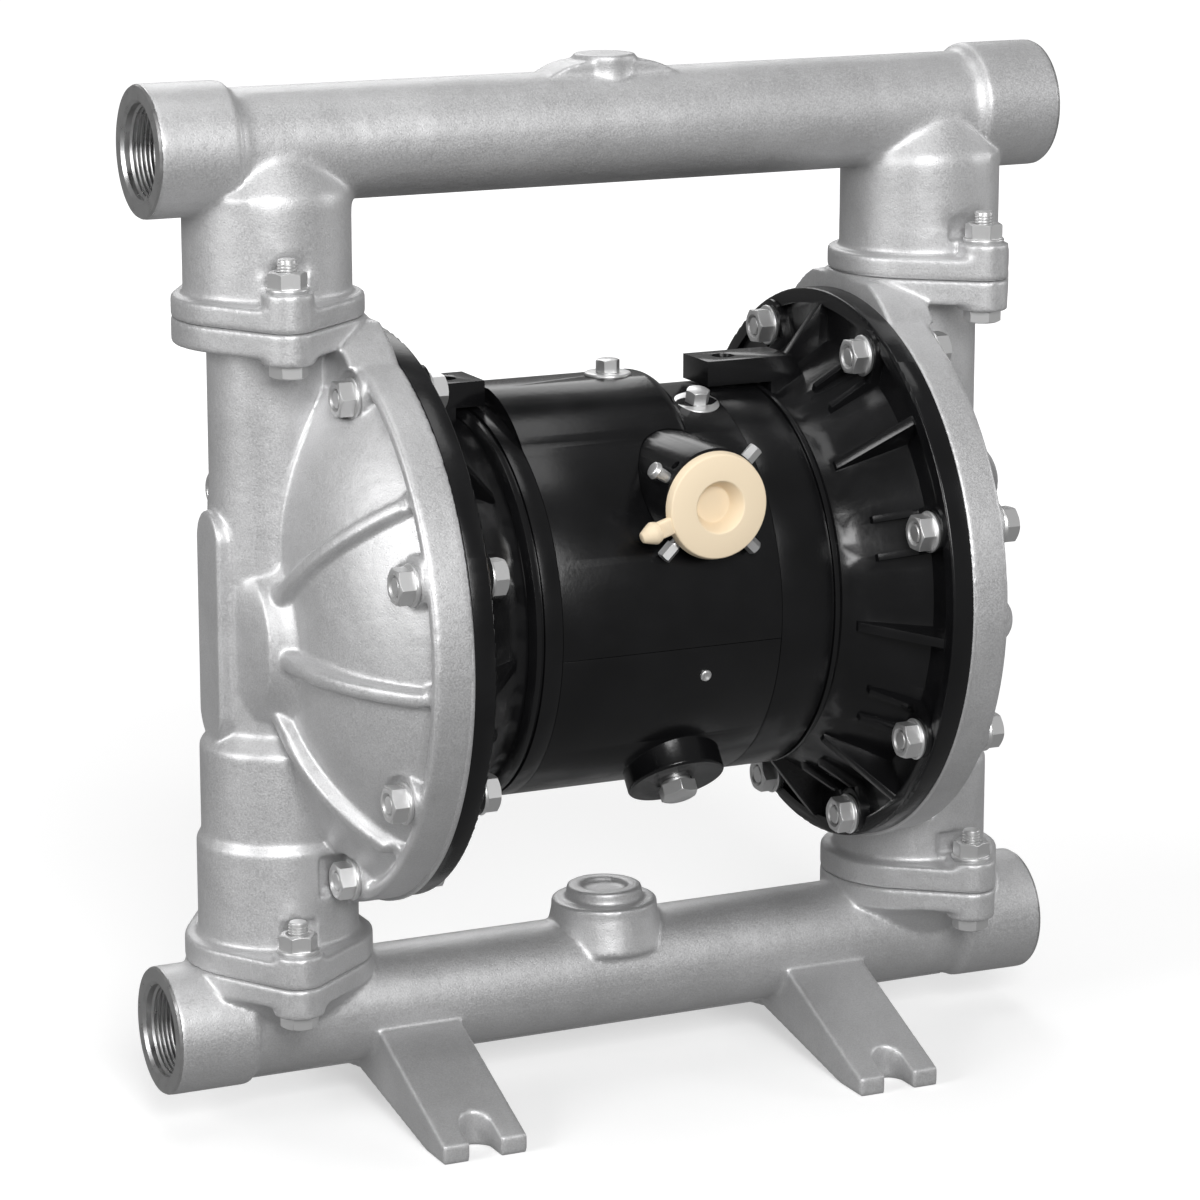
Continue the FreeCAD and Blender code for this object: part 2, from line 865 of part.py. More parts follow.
def chamber_column():
    """The upright of a fluid chamber, from flange to flange, with the ball cage at its foot."""
    total = "chamber_drop + chamber_rise"
    corners = [
        ("0", "0"),
        ("joint_radius", "0"),
        ("joint_radius", "chamber_flange"),
        ("cage_radius", "chamber_flange"),
        ("cage_radius", "cage_height"),
        ("lower_column", "cage_height + 4"),
        ("lower_column", "chamber_drop - lower_column_top"),
        ("column_radius", "chamber_drop - lower_column_top + 9"),
        ("column_radius", f"{total} - chamber_flange"),
        ("joint_radius", f"{total} - chamber_flange"),
        ("joint_radius", total),
        ("0", total),
    ]
    return turned("chamber_column", corners, column(LOW_JOINT), "Z", [("5", (6,)), ("1.5", (2, 9))])


def chamber_hub():
    """The flat pad on a chamber's outside, the slope down from it and the flared hub below."""
    face = "column_offset + pad_reach"
    crest = f"{DOME_TOP} + hub_rise"
    pad_end = "pad_half_height - pad_width/2"
    low = f"{AXIS} - hub_drop"
    hub = [
        ("0", f"{DOME_TOP} - dome_wall/2"),
        ("hub_base", f"{DOME_TOP} - dome_wall/2", "hub_round"),
        ("hub_crest", crest),
        ("0", crest),
    ]
    half = "pad_width/2"
    side = f"slope_half_height - {half}"
    bends = ["100*pad_width", "pad_width*0.51"] * 2
    corners = [(sign_y, sign_z) for sign_y, sign_z in ((1, -1), (1, 1), (-1, 1), (-1, -1))]
    ring = [(f"{y}*hub_crest*sin(30)", f"{z}*hub_crest*cos(30)", "-hub_crest") for y, z in corners]
    top = [(f"{y}*{half}", f"{z}*({side})", f"-{bend}") for (y, z), bend in zip(corners, bends)]
    return [
        block(
            "pad_middle",
            ("column_offset", "-pad_width/2", f"{AXIS} - ({pad_end})"),
            (face, "pad_width/2", f"{AXIS} + {pad_end}"),
        ),
        cylinder("pad_top", "pad_width/2", "pad_reach", column(f"{AXIS} + {pad_end}"), "X"),
        cylinder("pad_bottom", "pad_width/2", "pad_reach", column(f"{AXIS} - ({pad_end})"), "X"),
        turned("hub_flare", hub, ("0", "0", low), "X"),
        loft("hub_slope", [(ring, (crest, "0", low)), (top, (f"{face} - pad_depth", "0", f"{AXIS} - hub_drop/2"))]),
    ]


def chamber_ribs():
    """The ribs with rounded crests that run from a chamber's hub out to its rim, on both flanks."""
    rim = "wheel_radius - rim_width - hub_drop"
    lip = "split_offset + wheel_plate - 0.5"
    corners = [
        ("split_offset + 2", "rib_inner"),
        ("column_offset + rib_crest", "rib_inner", "-rib_round"),
        (lip, rim),
        (lip, "wheel_radius + hub_drop"),
        ("split_offset + 2", "wheel_radius + hub_drop"),
    ]
    ribs = []
    for angle in [*RIB_ANGLES, *(180 - angle for angle in RIB_ANGLES)]:
        rib = slab(f"chamber_rib_{len(ribs)}", corners, "rib_thickness", "XZ", ("0", "0", f"{AXIS} - hub_drop"),
                   upturned(angle))
        ribs.append(round_arc_edges(rib, "rib_round", "rib_edge"))
    inside_rim = cylinder("inside_rim", "wheel_radius - rim_width/2", "column_offset + pad_reach", ("0", "0", AXIS), "X")
    return common("chamber_ribs", fuse("chamber_rib_set", ribs), inside_rim)


def chamber_shoulder():
    """The thick web that joins a chamber's upper flange to the top of its wheel."""
    top = "chamber_rise - 2"
    foot = "sqrt(wheel_radius^2 - shoulder_foot^2)"
    corners = [
        ("shoulder_foot", foot, "-boss_round*3"),
        ("shoulder_crest", top),
        ("-shoulder_crest", top, "-boss_round*3"),
        ("-shoulder_foot", foot),
        ("-shoulder_foot", "wheel_radius*0.8"),
        ("shoulder_foot", "wheel_radius*0.8"),
    ]
    return slab("chamber_shoulder", corners, "wheel_plate + 6", "YZ", ("split_offset", "0", AXIS), symmetric=False)


def chamber_cavity():
    """The fluid space behind the diaphragm, with the recess that holds its rim."""
    corners = [
        ("0", "split_offset"),
        ("diaphragm_rim + rim_fit", "split_offset"),
        ("diaphragm_rim + rim_fit", "split_offset + diaphragm_thickness"),
        ("cavity_radius", "split_offset + diaphragm_thickness"),
        ("cavity_radius", "split_offset + cavity_wall"),
        ("dome_hub", f"{DOME_TOP} - dome_wall"),
        ("0", f"{DOME_TOP} - dome_wall"),
    ]
    return turned("chamber_cavity", corners, ("0", "0", AXIS), "X")


def column_bore():
    """The way up through a chamber's column, from the ball cage to the upper seat."""
    total = "chamber_drop + chamber_rise"
    corners = [
        ("0", "0"),
        ("cage_bore", "0"),
        ("cage_bore", f"{BALL_STOP} + stop_height"),
        ("column_bore", f"{BALL_STOP} + stop_height + 8"),
        ("column_bore", f"{total} - seat_height"),
        ("seat_radius + seat_fit", f"{total} - seat_height"),
        ("seat_radius + seat_fit", total),
        ("0", total),
    ]
    return turned("chamber_column_bore", corners, column(LOW_JOINT))


def fluid_chambers():
    """The two chamber castings outside the diaphragms."""
    outside = fuse("chamber_outside", [
        chamber_dome(),
        chamber_column(),
        *chamber_hub(),
        chamber_ribs(),
        chamber_shoulder(),
        wheel_ring("chamber_bosses", "split_offset", "chamber_boss", "boss_radius"),
    ])
    inboard = block("inboard", ("-2*column_offset", "-2*wheel_radius", "0"), ("split_offset", "2*wheel_radius", DISCHARGE))
    low_ears = ears("chamber_low_ears", LOW_JOINT, "chamber_ear", "chamber_flange", True)
    high_ears = ears("chamber_high_ears", HIGH_JOINT, "chamber_ear", "chamber_flange", False)
    holes = [
        ear_holes("chamber_low_holes", LOW_JOINT, "chamber_ear", "0"),
        ear_holes("chamber_high_holes", HIGH_JOINT, "0", "chamber_ear"),
        socket_pockets("chamber_sockets", LOW_JOINT, "chamber_ear"),
    ]
    hollow = cut("chamber_hollow", fuse("chamber_casting", [outside, low_ears, high_ears]), [
        inboard,
        chamber_cavity(),
        column_bore(),
        wheel_ring("chamber_stud_holes", "split_offset - 1", "chamber_boss + 2", BOLT_HOLE),
        wheel_ring("chamber_nut_room", CHAMBER_BOSS_TOP, "2*nut_height", "washer_radius + 1.5"),
        *holes,
    ])
    guides = ball_guides("chamber_guide", LOW_JOINT, "cage_bore")
    node_both_sides("fluid_chamber", fuse("right_fluid_chamber", [hollow, *guides]))


def cap_profile():
    """The flange, cone and neck of an air cap."""
    plate = "split_offset - cap_plate"
    rim = "wheel_radius - rim_width - 2"
    corners = [
        ("0", "body_half"),
        ("neck_radius", "body_half"),
        ("neck_radius", "body_half + neck_step"),
        ("neck_flare", "body_half + neck_length"),
        ("cap_cone", plate),
        (rim, plate),
        (rim, "split_offset - cap_rim"),
        ("wheel_radius", "split_offset - cap_rim"),
        ("wheel_radius", "split_offset"),
        ("0", "split_offset"),
    ]
    return turned("cap_profile", corners, ("0", "0", AXIS), "X", [("1.5", (7,))])


def cap_gussets():
    """Eight triangular ribs from an air cap's neck to its rim, midway between the bolts."""
    rim = "wheel_radius - rim_width - 1"
    corners = [
        ("body_half + gusset_start", "neck_radius - 6"),
        ("body_half + gusset_start", "neck_radius + 4"),
        ("split_offset - cap_rim - 1", rim),
        ("split_offset - 3", rim),
        ("split_offset - 3", "neck_radius - 6"),
    ]
    return [
        slab(f"cap_gusset_{number}", corners, "gusset_thickness", "XZ", ("0", "0", AXIS), upturned(angle))
        for number, angle in enumerate(between_bolts())
    ]


def cap_boss_webs():
    """The pair of walls that ties each bolt boss of an air cap to its neck."""
    corners = [
        ("body_half + neck_length - 2", "neck_radius - 2"),
        ("body_half + neck_length - 2", "neck_flare + 2"),
        (f"{CAP_BOSS_TOP} - washer_thickness - 1", "bolt_circle - washer_radius - 1"),
        (f"{CAP_BOSS_TOP} + 0.5", "bolt_circle - washer_radius - 1"),
        (f"{CAP_BOSS_TOP} + 0.5", "bolt_circle"),
        ("split_offset - 3", "bolt_circle"),
        ("split_offset - 3", "neck_radius - 2"),
    ]
    webs = []
    for number, angle in enumerate(wheel_angles()):
        body = slab(f"cap_boss_web_{number}", corners, "2*boss_radius - 1", "XZ", ("0", "0", AXIS), upturned(angle))
        sketch = new_sketch(body, "XZ")
        draw_outline(sketch, [
            ("body_half", "0"),
            ("body_half", "2*bolt_circle"),
            ("split_offset", "2*bolt_circle"),
            ("split_offset", "0"),
        ])
        pocket = body.newObject("PartDesign::Pocket", f"cap_boss_web_gap_{number}")
        pocket.Profile = sketch
        pocket.Midplane = True
        drive(pocket, Length="2*boss_radius - 1 - 2*web_wall")
        doc.recompute()
        webs.append(body)
    return webs


def air_cap(side, shell, lug_tip):
    """An air cap casting: the shared shell with this side's lifting lug."""
    sign = 1 if side == "right" else -1
    tip = f"(body_half - ({lug_tip}))"
    corners = [
        (tip, "lug_base"),
        (tip, "lug_top"),
        ("body_half + 14", "lug_top"),
        ("body_half + 22", "neck_flare - 2"),
        ("body_half + 22", "neck_radius - 4"),
        ("body_half + 2", "neck_radius - 4"),
        ("body_half + 2", "lug_base"),
    ]
    corners = [(f"{sign}*({across})", along) for across, along in corners]
    lug = slab(side + "_lug", corners, "lug_width", "XZ", ("0", "0", AXIS))
    hole_at = (f"{sign}*({tip} + lug_hole_inset)", "0", f"{AXIS} + neck_radius + 1")
    hole = cylinder(side + "_lug_hole", "lug_hole", "lug_top", hole_at)
    node(cut(side + "_air_cap", fuse(side + "_cap_with_lug", [shell, lug]), [hole]))


def air_caps():
    """The two black castings between the diaphragms and the centre body."""
    outside = fuse("cap_outside", [
        cap_profile(),
        *cap_gussets(),
        wheel_ring("cap_bosses", CAP_BOSS_TOP, "cap_boss", "boss_radius"),
        *cap_boss_webs(),
    ])
    cavity = [
        ("0", CAP_FLOOR),
        ("cap_floor_radius", CAP_FLOOR),
        ("cavity_radius", "split_offset - cap_plate"),
        ("cavity_radius", "split_offset"),
        ("0", "split_offset"),
    ]
    pilot_at = ("body_half", "0", f"{AXIS} - pilot_drop")
    right = cut("right_cap_shell", outside, [
        turned("cap_cavity", cavity, ("0", "0", AXIS), "X"),
        wheel_ring("cap_stud_holes", f"{CAP_BOSS_TOP} - 1", "cap_boss + 2", BOLT_HOLE),
        cylinder("cap_rod_hole", "rod_radius + bush_wall + 1", "split_offset - body_half", ("body_half", "0", AXIS), "X"),
        cylinder("cap_pilot_hole", "pilot_bush_radius + 1", "split_offset - body_half", pilot_at, "X"),
    ])
    air_cap("right", right, "lug_tip_right")
    air_cap("left", mirror("left_cap_shell", right), "lug_tip_left")


def body_core():
    """The centre block: end collars, ledges for the covers and a slimmer waist between them."""
    groove_low = "collar_groove - groove_size/2"
    groove_high = "collar_groove + groove_size/2"
    floor = "body_radius - groove_size"
    corners = [
        ("0", "-body_half"),
        ("body_radius - collar_chamfer", "-body_half"),
        ("body_radius", "collar_chamfer - body_half"),
        ("body_radius", f"-({groove_high})"),
        (floor, f"-({groove_high})"),
        (floor, f"-({groove_low})"),
        ("body_radius", f"-({groove_low})"),
        ("body_radius", "-left_seam"),
        ("body_radius - cover_wall", "-left_seam"),
        ("body_radius - cover_wall", "ledge - left_seam"),
        ("core_radius", "ledge - left_seam"),
        ("core_radius", "right_seam - ledge"),
        ("body_radius - cover_wall", "right_seam - ledge"),
        ("body_radius - cover_wall", "right_seam"),
        ("body_radius", "right_seam"),
        ("body_radius", groove_low),
        (floor, groove_low),
        (floor, groove_high),
        ("body_radius", groove_high),
        ("body_radius", "body_half - collar_chamfer"),
        ("body_radius - collar_chamfer", "body_half"),
        ("0", "body_half"),
    ]
    return turned("body_core", corners, ("0", "0", AXIS), "X")


def inlet_screw_aim(angle):
    """The direction of a screw that stands out from the inlet boss, by its clock angle from +X."""
    return Vector(math.cos(math.radians(angle)), 0, math.sin(math.radians(angle)))


def inlet_screw_place(radius, angle):
    """A point beside the inlet's axis, out at a radius along a clock angle."""
    return (
        f"inlet_shift + ({radius})*cos({angle})",
        "inlet_screw_setback - inlet_reach",
        f"{AXIS} + inlet_rise + ({radius})*sin({angle})",
    )


def centre_body():
    """The block that carries the rod, the air valve, the air inlet and the exhaust."""
    inlet = f"{AXIS} + inlet_rise"
    exhaust = f"{AXIS} + exhaust_rise"
    valve = f"{AXIS} + valve_rise"
    pilot = f"{AXIS} - pilot_drop"
    outside = fuse("body_with_bosses", [
        body_core(),
        cylinder("inlet_boss", "inlet_boss_radius", "inlet_reach", ("inlet_shift", "0", inlet), "-Y"),
        cylinder("exhaust_boss", "exhaust_radius", "exhaust_reach", ("0", "0", exhaust), "Y"),
    ])
    mouth = "inlet_reach - inlet_depth"
    outlet = "exhaust_reach - exhaust_depth"
    screw_holes = [
        cylinder(
            f"inlet_screw_hole_{angle}",
            "inlet_screw_size + thread_gap",
            "inlet_screw_depth + 2",
            inlet_screw_place("inlet_boss_radius - inlet_screw_depth", angle),
            inlet_screw_aim(angle),
        )
        for angle in INLET_SCREW_ANGLES
    ]
    bush_bore = "rod_radius + bush_wall"
    node(cut("centre_body", outside, [
        cylinder("inlet_thread_bore", "inlet_thread", "inlet_depth", ("inlet_shift", f"-({mouth})", inlet), "-Y"),
        cylinder("inlet_passage_bore", "inlet_passage", mouth, ("inlet_shift", "0", inlet), "-Y"),
        cylinder("inlet_drop", "inlet_passage", "inlet_rise - valve_rise", ("inlet_shift", "0", valve)),
        cylinder("exhaust_thread_bore", "exhaust_thread", "exhaust_depth", ("0", outlet, exhaust), "Y"),
        cylinder("exhaust_passage_bore", "inlet_passage", outlet, ("0", "0", exhaust), "Y"),
        cylinder("valve_bore", "sleeve_radius", "2*body_half", ("-body_half", "0", valve), "X"),
        cylinder("rod_bore", "rod_radius + 1", "2*body_half", ("-body_half", "0", AXIS), "X"),
        pair("bush_seats", cylinder("bush_seat", bush_bore, "bush_length + seal_length",
                                    ("body_half - bush_length - seal_length", "0", AXIS), "X")),
        cylinder("pilot_bore", "pilot_bush_radius", "2*body_half", ("-body_half", "0", pilot), "X"),
        group("cover_bolt_holes", cover_bolt_shapes("cover_bolt_hole", "cover_bolt_size/2 + thread_gap", "1")),
        *screw_holes,
    ]))


def cover_ring(name, low, high):
    """The half of the drum between two heights above the axis, between the seams."""
    corners = [
        ("body_radius - cover_wall + cover_gap", "cover_gap - left_seam"),
        ("body_radius", "cover_gap - left_seam"),
        ("body_radius", "right_seam - cover_gap"),
        ("body_radius - cover_wall + cover_gap", "right_seam - cover_gap"),
    ]
    ring = turned(name + "_ring", corners, ("0", "0", AXIS), "X")
    half = block(
        name + "_half",
        ("-port_half_span", "-2*body_radius", f"{AXIS} + {low}"),
        ("port_half_span", "2*body_radius", f"{AXIS} + {high}"),
    )
    return common(name + "_shell", ring, half)


def cover_bolt_places():
    """The two top bolts: name, distance along X, lean to the front, seat radius."""
    return [
        ("pad", "pad_bolt_shift", 0, "top_pad_rise"),
        ("flank", "flank_bolt_shift", FLANK_BOLT_LEAN, "body_radius"),
    ]


def leaning_point(across, lean, radius):
    """A point at a radius from the drum's axis, leant to the front from straight up."""
    return (across, f"-({radius})*sin({lean})", f"{AXIS} + ({radius})*cos({lean})")


def leaning_aim(lean):
    return Vector(0, -math.sin(math.radians(lean)), math.cos(math.radians(lean)))


def cover_bolt_shapes(name, radius, extra):
    """A straight hole or shank down through the cover and into the body at each top bolt."""
    shapes = []
    for label, across, lean, seat in cover_bolt_places():
        low = "core_radius - cover_bolt_grip"
        length = f"{seat} + {extra} - ({low})"
        spot = leaning_point(across, lean, low)
        shapes.append(cylinder(f"{name}_{label}", radius, length, spot, leaning_aim(lean)))
    return shapes


def upper_cover():
    """The upper half shell of the drum, with its flat pad."""
    pad = [
        ("0", "cover_gap - left_seam"),
        ("top_pad_round", "cover_gap - left_seam"),
        ("top_pad_round", "top_pad_end"),
        ("0", "top_pad_end"),
    ]
    crown = f"{AXIS} + top_pad_rise + top_pad_flat"
    hump = turned("top_pad", pad, ("0", "0", f"{crown} - top_pad_round"), "X", [("top_pad_end_round", (2,))])
    above = block("above_pad", ("-port_half_span", "-top_pad_round", f"{AXIS} + top_pad_rise"),
                  ("port_half_span", "top_pad_round", f"{crown} + 1"))
    under = cylinder("under_pad", "body_radius - cover_wall + cover_gap", "2*port_half_span",
                     ("-port_half_span", "0", AXIS), "X")
    shell = fuse("upper_cover_whole", [
        cover_ring("upper_cover", "cover_gap/2 - cover_split", "2*body_radius"),
        cut("top_pad_shell", hump, [under, above]),
    ])
    inlet_at = ("inlet_shift", "0", f"{AXIS} + inlet_rise")
    exhaust_at = ("0", "0", f"{AXIS} + exhaust_rise")
    node(cut("upper_cover", shell, [
        cylinder("inlet_opening", "inlet_boss_radius + cover_gap", "2*body_radius", inlet_at, "-Y"),
        cylinder("exhaust_opening", "exhaust_radius + cover_gap", "2*body_radius", exhaust_at, "Y"),
        group("cover_clearance_holes", cover_bolt_shapes("cover_clearance", "cover_bolt_size/2 + bolt_clearance", "1")),
    ]))


def drain_point(radius):
    """A point under the front of the drum, out along the drain boss's axis."""
    return (
        "drain_shift",
        f"-({radius})*cos({DRAIN_TILT})",
        f"{AXIS} - ({radius})*sin({DRAIN_TILT})",
    )


def drain_aim():
    lean = math.radians(DRAIN_TILT)
    return Vector(0, -math.cos(lean), -math.sin(lean))


def lower_cover():
    """The lower half shell of the drum, with the round drain boss."""
    start = "body_radius - cover_wall + 1"
    height = "drain_rise + cover_wall - 1"
    rim = [("0", "0"), ("drain_radius", "0"), ("drain_radius", height), ("0", height)]
    boss = turned("drain_boss", rim, drain_point(start), drain_aim(), [("drain_edge", (2,))])
    inside = cylinder("lower_inside", "body_radius - cover_wall + cover_gap", "2*port_half_span",
                      ("-port_half_span", "0", AXIS), "X")
    thread_start = drain_point("body_radius + drain_rise - drain_plug_length")
    thread = cylinder("drain_thread_bore", "drain_thread + thread_gap", "2*drain_plug_length", thread_start, drain_aim())
    node(cut("lower_cover", fuse("lower_cover_whole", [
        cover_ring("lower_cover", "-2*body_radius", "-cover_split - cover_gap/2"),
        boss,
    ]), [inside, thread]))


def drain_plug():
    """The hexagon-headed plug in the drain boss."""
    top = "body_radius + drain_rise"
    head = prism("drain_head", "drain_hex", "drain_hex_height", drain_point(top), drain_aim())
    shank_start = drain_point(f"{top} - drain_plug_length")
    shank = cylinder("drain_shank", "drain_thread", "drain_plug_length", shank_start, drain_aim())
    node(fuse("drain_plug", [head, shank]))


def inlet_plug():
    """The plastic plug that keeps dust out of the air inlet, with its pull tab."""
    corners = [
        ("0", "-plug_length"),
        ("inlet_thread - plug_fit", "-plug_length"),
        ("inlet_thread - plug_fit", "plug_fit"),
        ("plug_radius", "plug_fit"),
        ("plug_radius", "plug_rim"),
        ("plug_recess", "plug_rim"),
        ("plug_recess", "plug_rim - plug_recess_depth"),
        ("0", "plug_rim - plug_recess_depth"),
    ]
    mouth = ("inlet_shift", "-inlet_reach", f"{AXIS} + inlet_rise")
    cap = turned("plug_cap", corners, mouth, "-Y", [("2", (4,)), ("1", (5,))])
    tab = [
        ("plug_radius - 2", "-tab_width/2"),
        ("plug_radius - 2", "tab_width/2"),
        ("plug_radius + tab_length - knob_radius", "tab_width/2 - 1"),
        ("plug_radius + tab_length - knob_radius", "1 - tab_width/2"),
    ]
    strap = slab("plug_tab", tab, "tab_thickness", "XZ", ("inlet_shift", "-inlet_reach - plug_fit - tab_thickness/2", mouth[2]),
                 FreeCAD.Rotation(AIMS["-Y"], INLET_TAB_ANGLE), symmetric=True)
    reach = "(plug_radius + tab_length - knob_radius - 1)"
    knob = [
        ("0", "-knob_length/2"),
        ("knob_radius", "-knob_length/2"),
        ("knob_radius", "0"),
        ("knob_radius*0.4", "knob_length/2"),
        ("0", "knob_length/2"),
    ]
    spot = (
        f"inlet_shift + {reach}*cos({INLET_TAB_ANGLE})",
        "-inlet_reach - plug_fit - knob_length/2",
        f"{AXIS} + inlet_rise + {reach}*sin({INLET_TAB_ANGLE})",
    )
    grip = turned("plug_knob", knob, spot, "-Y")
    node(fuse("inlet_plug", [cap, strap, grip]))


def inlet_screws():
    """Four hexagon screws that stand out round the inlet boss."""
    screws = []
    for angle in INLET_SCREW_ANGLES:
        aim = inlet_screw_aim(angle)
        head_start = "inlet_screw_reach - inlet_screw_head_length"
        head = prism(f"inlet_screw_head_{angle}", "inlet_screw_head", "inlet_screw_head_length",
                     inlet_screw_place(head_start, angle), aim)
        shank_start = "inlet_boss_radius - inlet_screw_depth"
        shank = cylinder(f"inlet_screw_shank_{angle}", "inlet_screw_size", f"{head_start} - ({shank_start})",
                         inlet_screw_place(shank_start, angle), aim)
        screws.append(fuse(f"inlet_screw_{angle}", [head, shank]))
    node(group("inlet_screws", screws))


def cover_fasteners():
    """The two top bolts on their wide washers."""
    shanks = cover_bolt_shapes("cover_bolt_shank", "cover_bolt_size/2", "cover_washer_thickness")
    bores = cover_bolt_shapes("cover_washer_bore", "cover_bolt_size/2 + bolt_clearance", "2*cover_washer_thickness")
    bolts = []
    washers = []
    for (label, across, lean, seat), shank, bore in zip(cover_bolt_places(), shanks, bores):
        aim = leaning_aim(lean)
        above = leaning_point(across, lean, f"{seat} + cover_washer_thickness")
        head = prism(f"cover_head_{label}", "cover_bolt_corner", "cover_bolt_head", above, aim)
        bolts.append(fuse(f"cover_bolt_{label}", [head, shank]))
        disc = cylinder(f"cover_disc_{label}", "cover_washer", "cover_washer_thickness",
                        leaning_point(across, lean, seat), aim)
        washers.append(cut(f"cover_washer_{label}", disc, [bore]))
    node(group("cover_bolts", bolts))
    node(group("cover_washers", washers))


def wheel_fasteners():
    """The studs through each wheel with a nut and a washer at both ends."""
    length = f"({CHAMBER_BOSS_TOP}) - ({CAP_BOSS_TOP}) + 2*washer_thickness + 2*nut_height + stud_end - flush_end"
    start = f"{CAP_BOSS_TOP} - washer_thickness - nut_height - stud_end"
    node_both_sides("wheel_studs", wheel_ring("right_wheel_studs", start, length, "bolt_size/2"))
    node_both_sides("outer_nuts", wheel_ring("right_outer_nuts", f"{CHAMBER_BOSS_TOP} + washer_thickness", "nut_height",
                                             "nut_corner", NUT_BORE, 6))
    node_both_sides("inner_nuts", wheel_ring("right_inner_nuts", f"{CAP_BOSS_TOP} - washer_thickness - nut_height",
                                             "nut_height", "nut_corner", NUT_BORE, 6))
    node_both_sides("outer_washers", wheel_ring("right_outer_washers", CHAMBER_BOSS_TOP, "washer_thickness",
                                                "washer_radius", BOLT_HOLE))
    node_both_sides("inner_washers", wheel_ring("right_inner_washers", f"{CAP_BOSS_TOP} - washer_thickness",
                                                "washer_thickness", "washer_radius", BOLT_HOLE))


def joint_fasteners(name, joint, up, down):
    """Four bolts with heads below a flange joint, and their nuts and washers above it."""
    across = "column_offset + ear_shift"
    bottom = f"{joint} - ({down})"
    top = f"{joint} + {up}"
    head = prism(name + "_head", "nut_corner", "head_height", (across, "-ear_reach", f"{bottom} - head_height"))
    shank_length = f"{up} + {down} + washer_thickness + nut_height + bolt_end"
    shank = cylinder(name + "_shank", "bolt_size/2", shank_length, (across, "-ear_reach", bottom))
    node(four(name + "_bolts", fuse(name + "_bolt", [head, shank])))
    nut = cut(name + "_nut", prism(name + "_nut_hex", "nut_corner", "nut_height",
                                   (across, "-ear_reach", f"{top} + washer_thickness")),
              [cylinder(name + "_nut_bore", NUT_BORE, "nut_height + 2", (across, "-ear_reach", f"{top} + washer_thickness - 1"))])
    node(four(name + "_nuts", nut))
    washer = cut(name + "_washer", cylinder(name + "_washer_disc", "washer_radius", "washer_thickness", (across, "-ear_reach", top)),
                 [cylinder(name + "_washer_bore", BOLT_HOLE, "washer_thickness + 2", (across, "-ear_reach", f"{top} - 1"))])
    node(four(name + "_washers", washer))


def diaphragms():
    """The two rubber diaphragms, clamped at the rim between chamber and cap."""
    split = "split_offset"
    back = "split_offset + diaphragm_thickness"
    inner = "rod_radius*0.6 + plate_gap"
    corners = [
        (inner, split),
        ("plate_radius + 4", split),
        ("roll_radius", f"{split} + roll_depth"),
        ("cavity_radius - 2", split),
        ("diaphragm_rim", split),
        ("diaphragm_rim", back),
        ("cavity_radius - 3", back),
        ("roll_radius", f"{back} + roll_depth"),
        ("plate_radius + 3", back),
        (inner, back),
    ]
    node_both_sides("diaphragm", turned("right_diaphragm", corners, ("0", "0", AXIS), "X", [("6", (2,)), ("8", (7,))]))


def rod_group():
    """The connecting rod with a plate on each side of both diaphragms."""
    inner_face = "split_offset - plate_gap"
    outer_face = "split_offset + diaphragm_thickness + plate_gap"
    rod = [
        ("0", f"-({inner_face}) + inner_plate"),
        ("rod_radius", f"-({inner_face}) + inner_plate"),
        ("rod_radius", f"{inner_face} - inner_plate"),
        ("0", f"{inner_face} - inner_plate"),
    ]
    node(turned("connecting_rod", rod, ("0", "0", AXIS), "X"))
    inside = [
        ("0", f"{inner_face} - inner_plate"),
        ("plate_radius*0.6", f"{inner_face} - inner_plate"),
        ("plate_radius", f"{inner_face} - inner_plate/2"),
        ("plate_radius", inner_face),
        ("0", inner_face),
    ]
    node_both_sides("inner_plate", turned("right_inner_plate", inside, ("0", "0", AXIS), "X"))
    outside = [
        ("0", inner_face),
        ("rod_radius*0.6", inner_face),
        ("rod_radius*0.6", outer_face),
        ("plate_radius", outer_face),
        ("plate_radius", f"{outer_face} + outer_plate/2"),
        ("plate_radius*0.5", f"{outer_face} + outer_plate"),
        ("0", f"{outer_face} + outer_plate"),
    ]
    node_both_sides("outer_plate", turned("right_outer_plate", outside, ("0", "0", AXIS), "X"))
    head = prism("right_plate_bolt", "plate_bolt_corner", "plate_bolt_head", (f"{outer_face} + outer_plate", "0", AXIS), "X")
    node_both_sides("plate_bolt", head)


def rod_guides():
    """The bushes and seals that the rod runs through."""
    bore = "rod_radius + rod_fit"
    outer = "rod_radius + bush_wall"
    start = "body_half - bush_length"
    bush = [(bore, start), (outer, start), (outer, "body_half"), (bore, "body_half")]
    node_both_sides("rod_bush", turned("right_rod_bush", bush, ("0", "0", AXIS), "X"))
    seal_start = f"{start} - seal_length"
    seal = [(bore, seal_start), (outer, seal_start), (outer, start), (bore, start)]
    node_both_sides("rod_seal", turned("right_rod_seal", seal, ("0", "0", AXIS), "X"))


def valve_seats_and_balls():
    """Four ball check valves: a seat ring and a ball at the foot and the head of each column."""
    seat = [
        ("seat_bore", "-seat_height"),
        ("seat_radius", "-seat_height"),
        ("seat_radius", "0"),
        ("seat_mouth", "0"),
        ("seat_bore", "seat_bore - seat_mouth"),
    ]
    for name, joint in (("suction", LOW_JOINT), ("discharge", HIGH_JOINT)):
        node_both_sides(name + "_seat", turned(f"right_{name}_seat", seat, column(joint)))
        ball = doc.addObject("Part::Sphere", f"right_{name}_ball")
        drive(ball, Radius="ball_radius")
        place(ball, column(f"{joint} + {BALL_HEIGHT}"))
        node_both_sides(name + "_ball", ball)


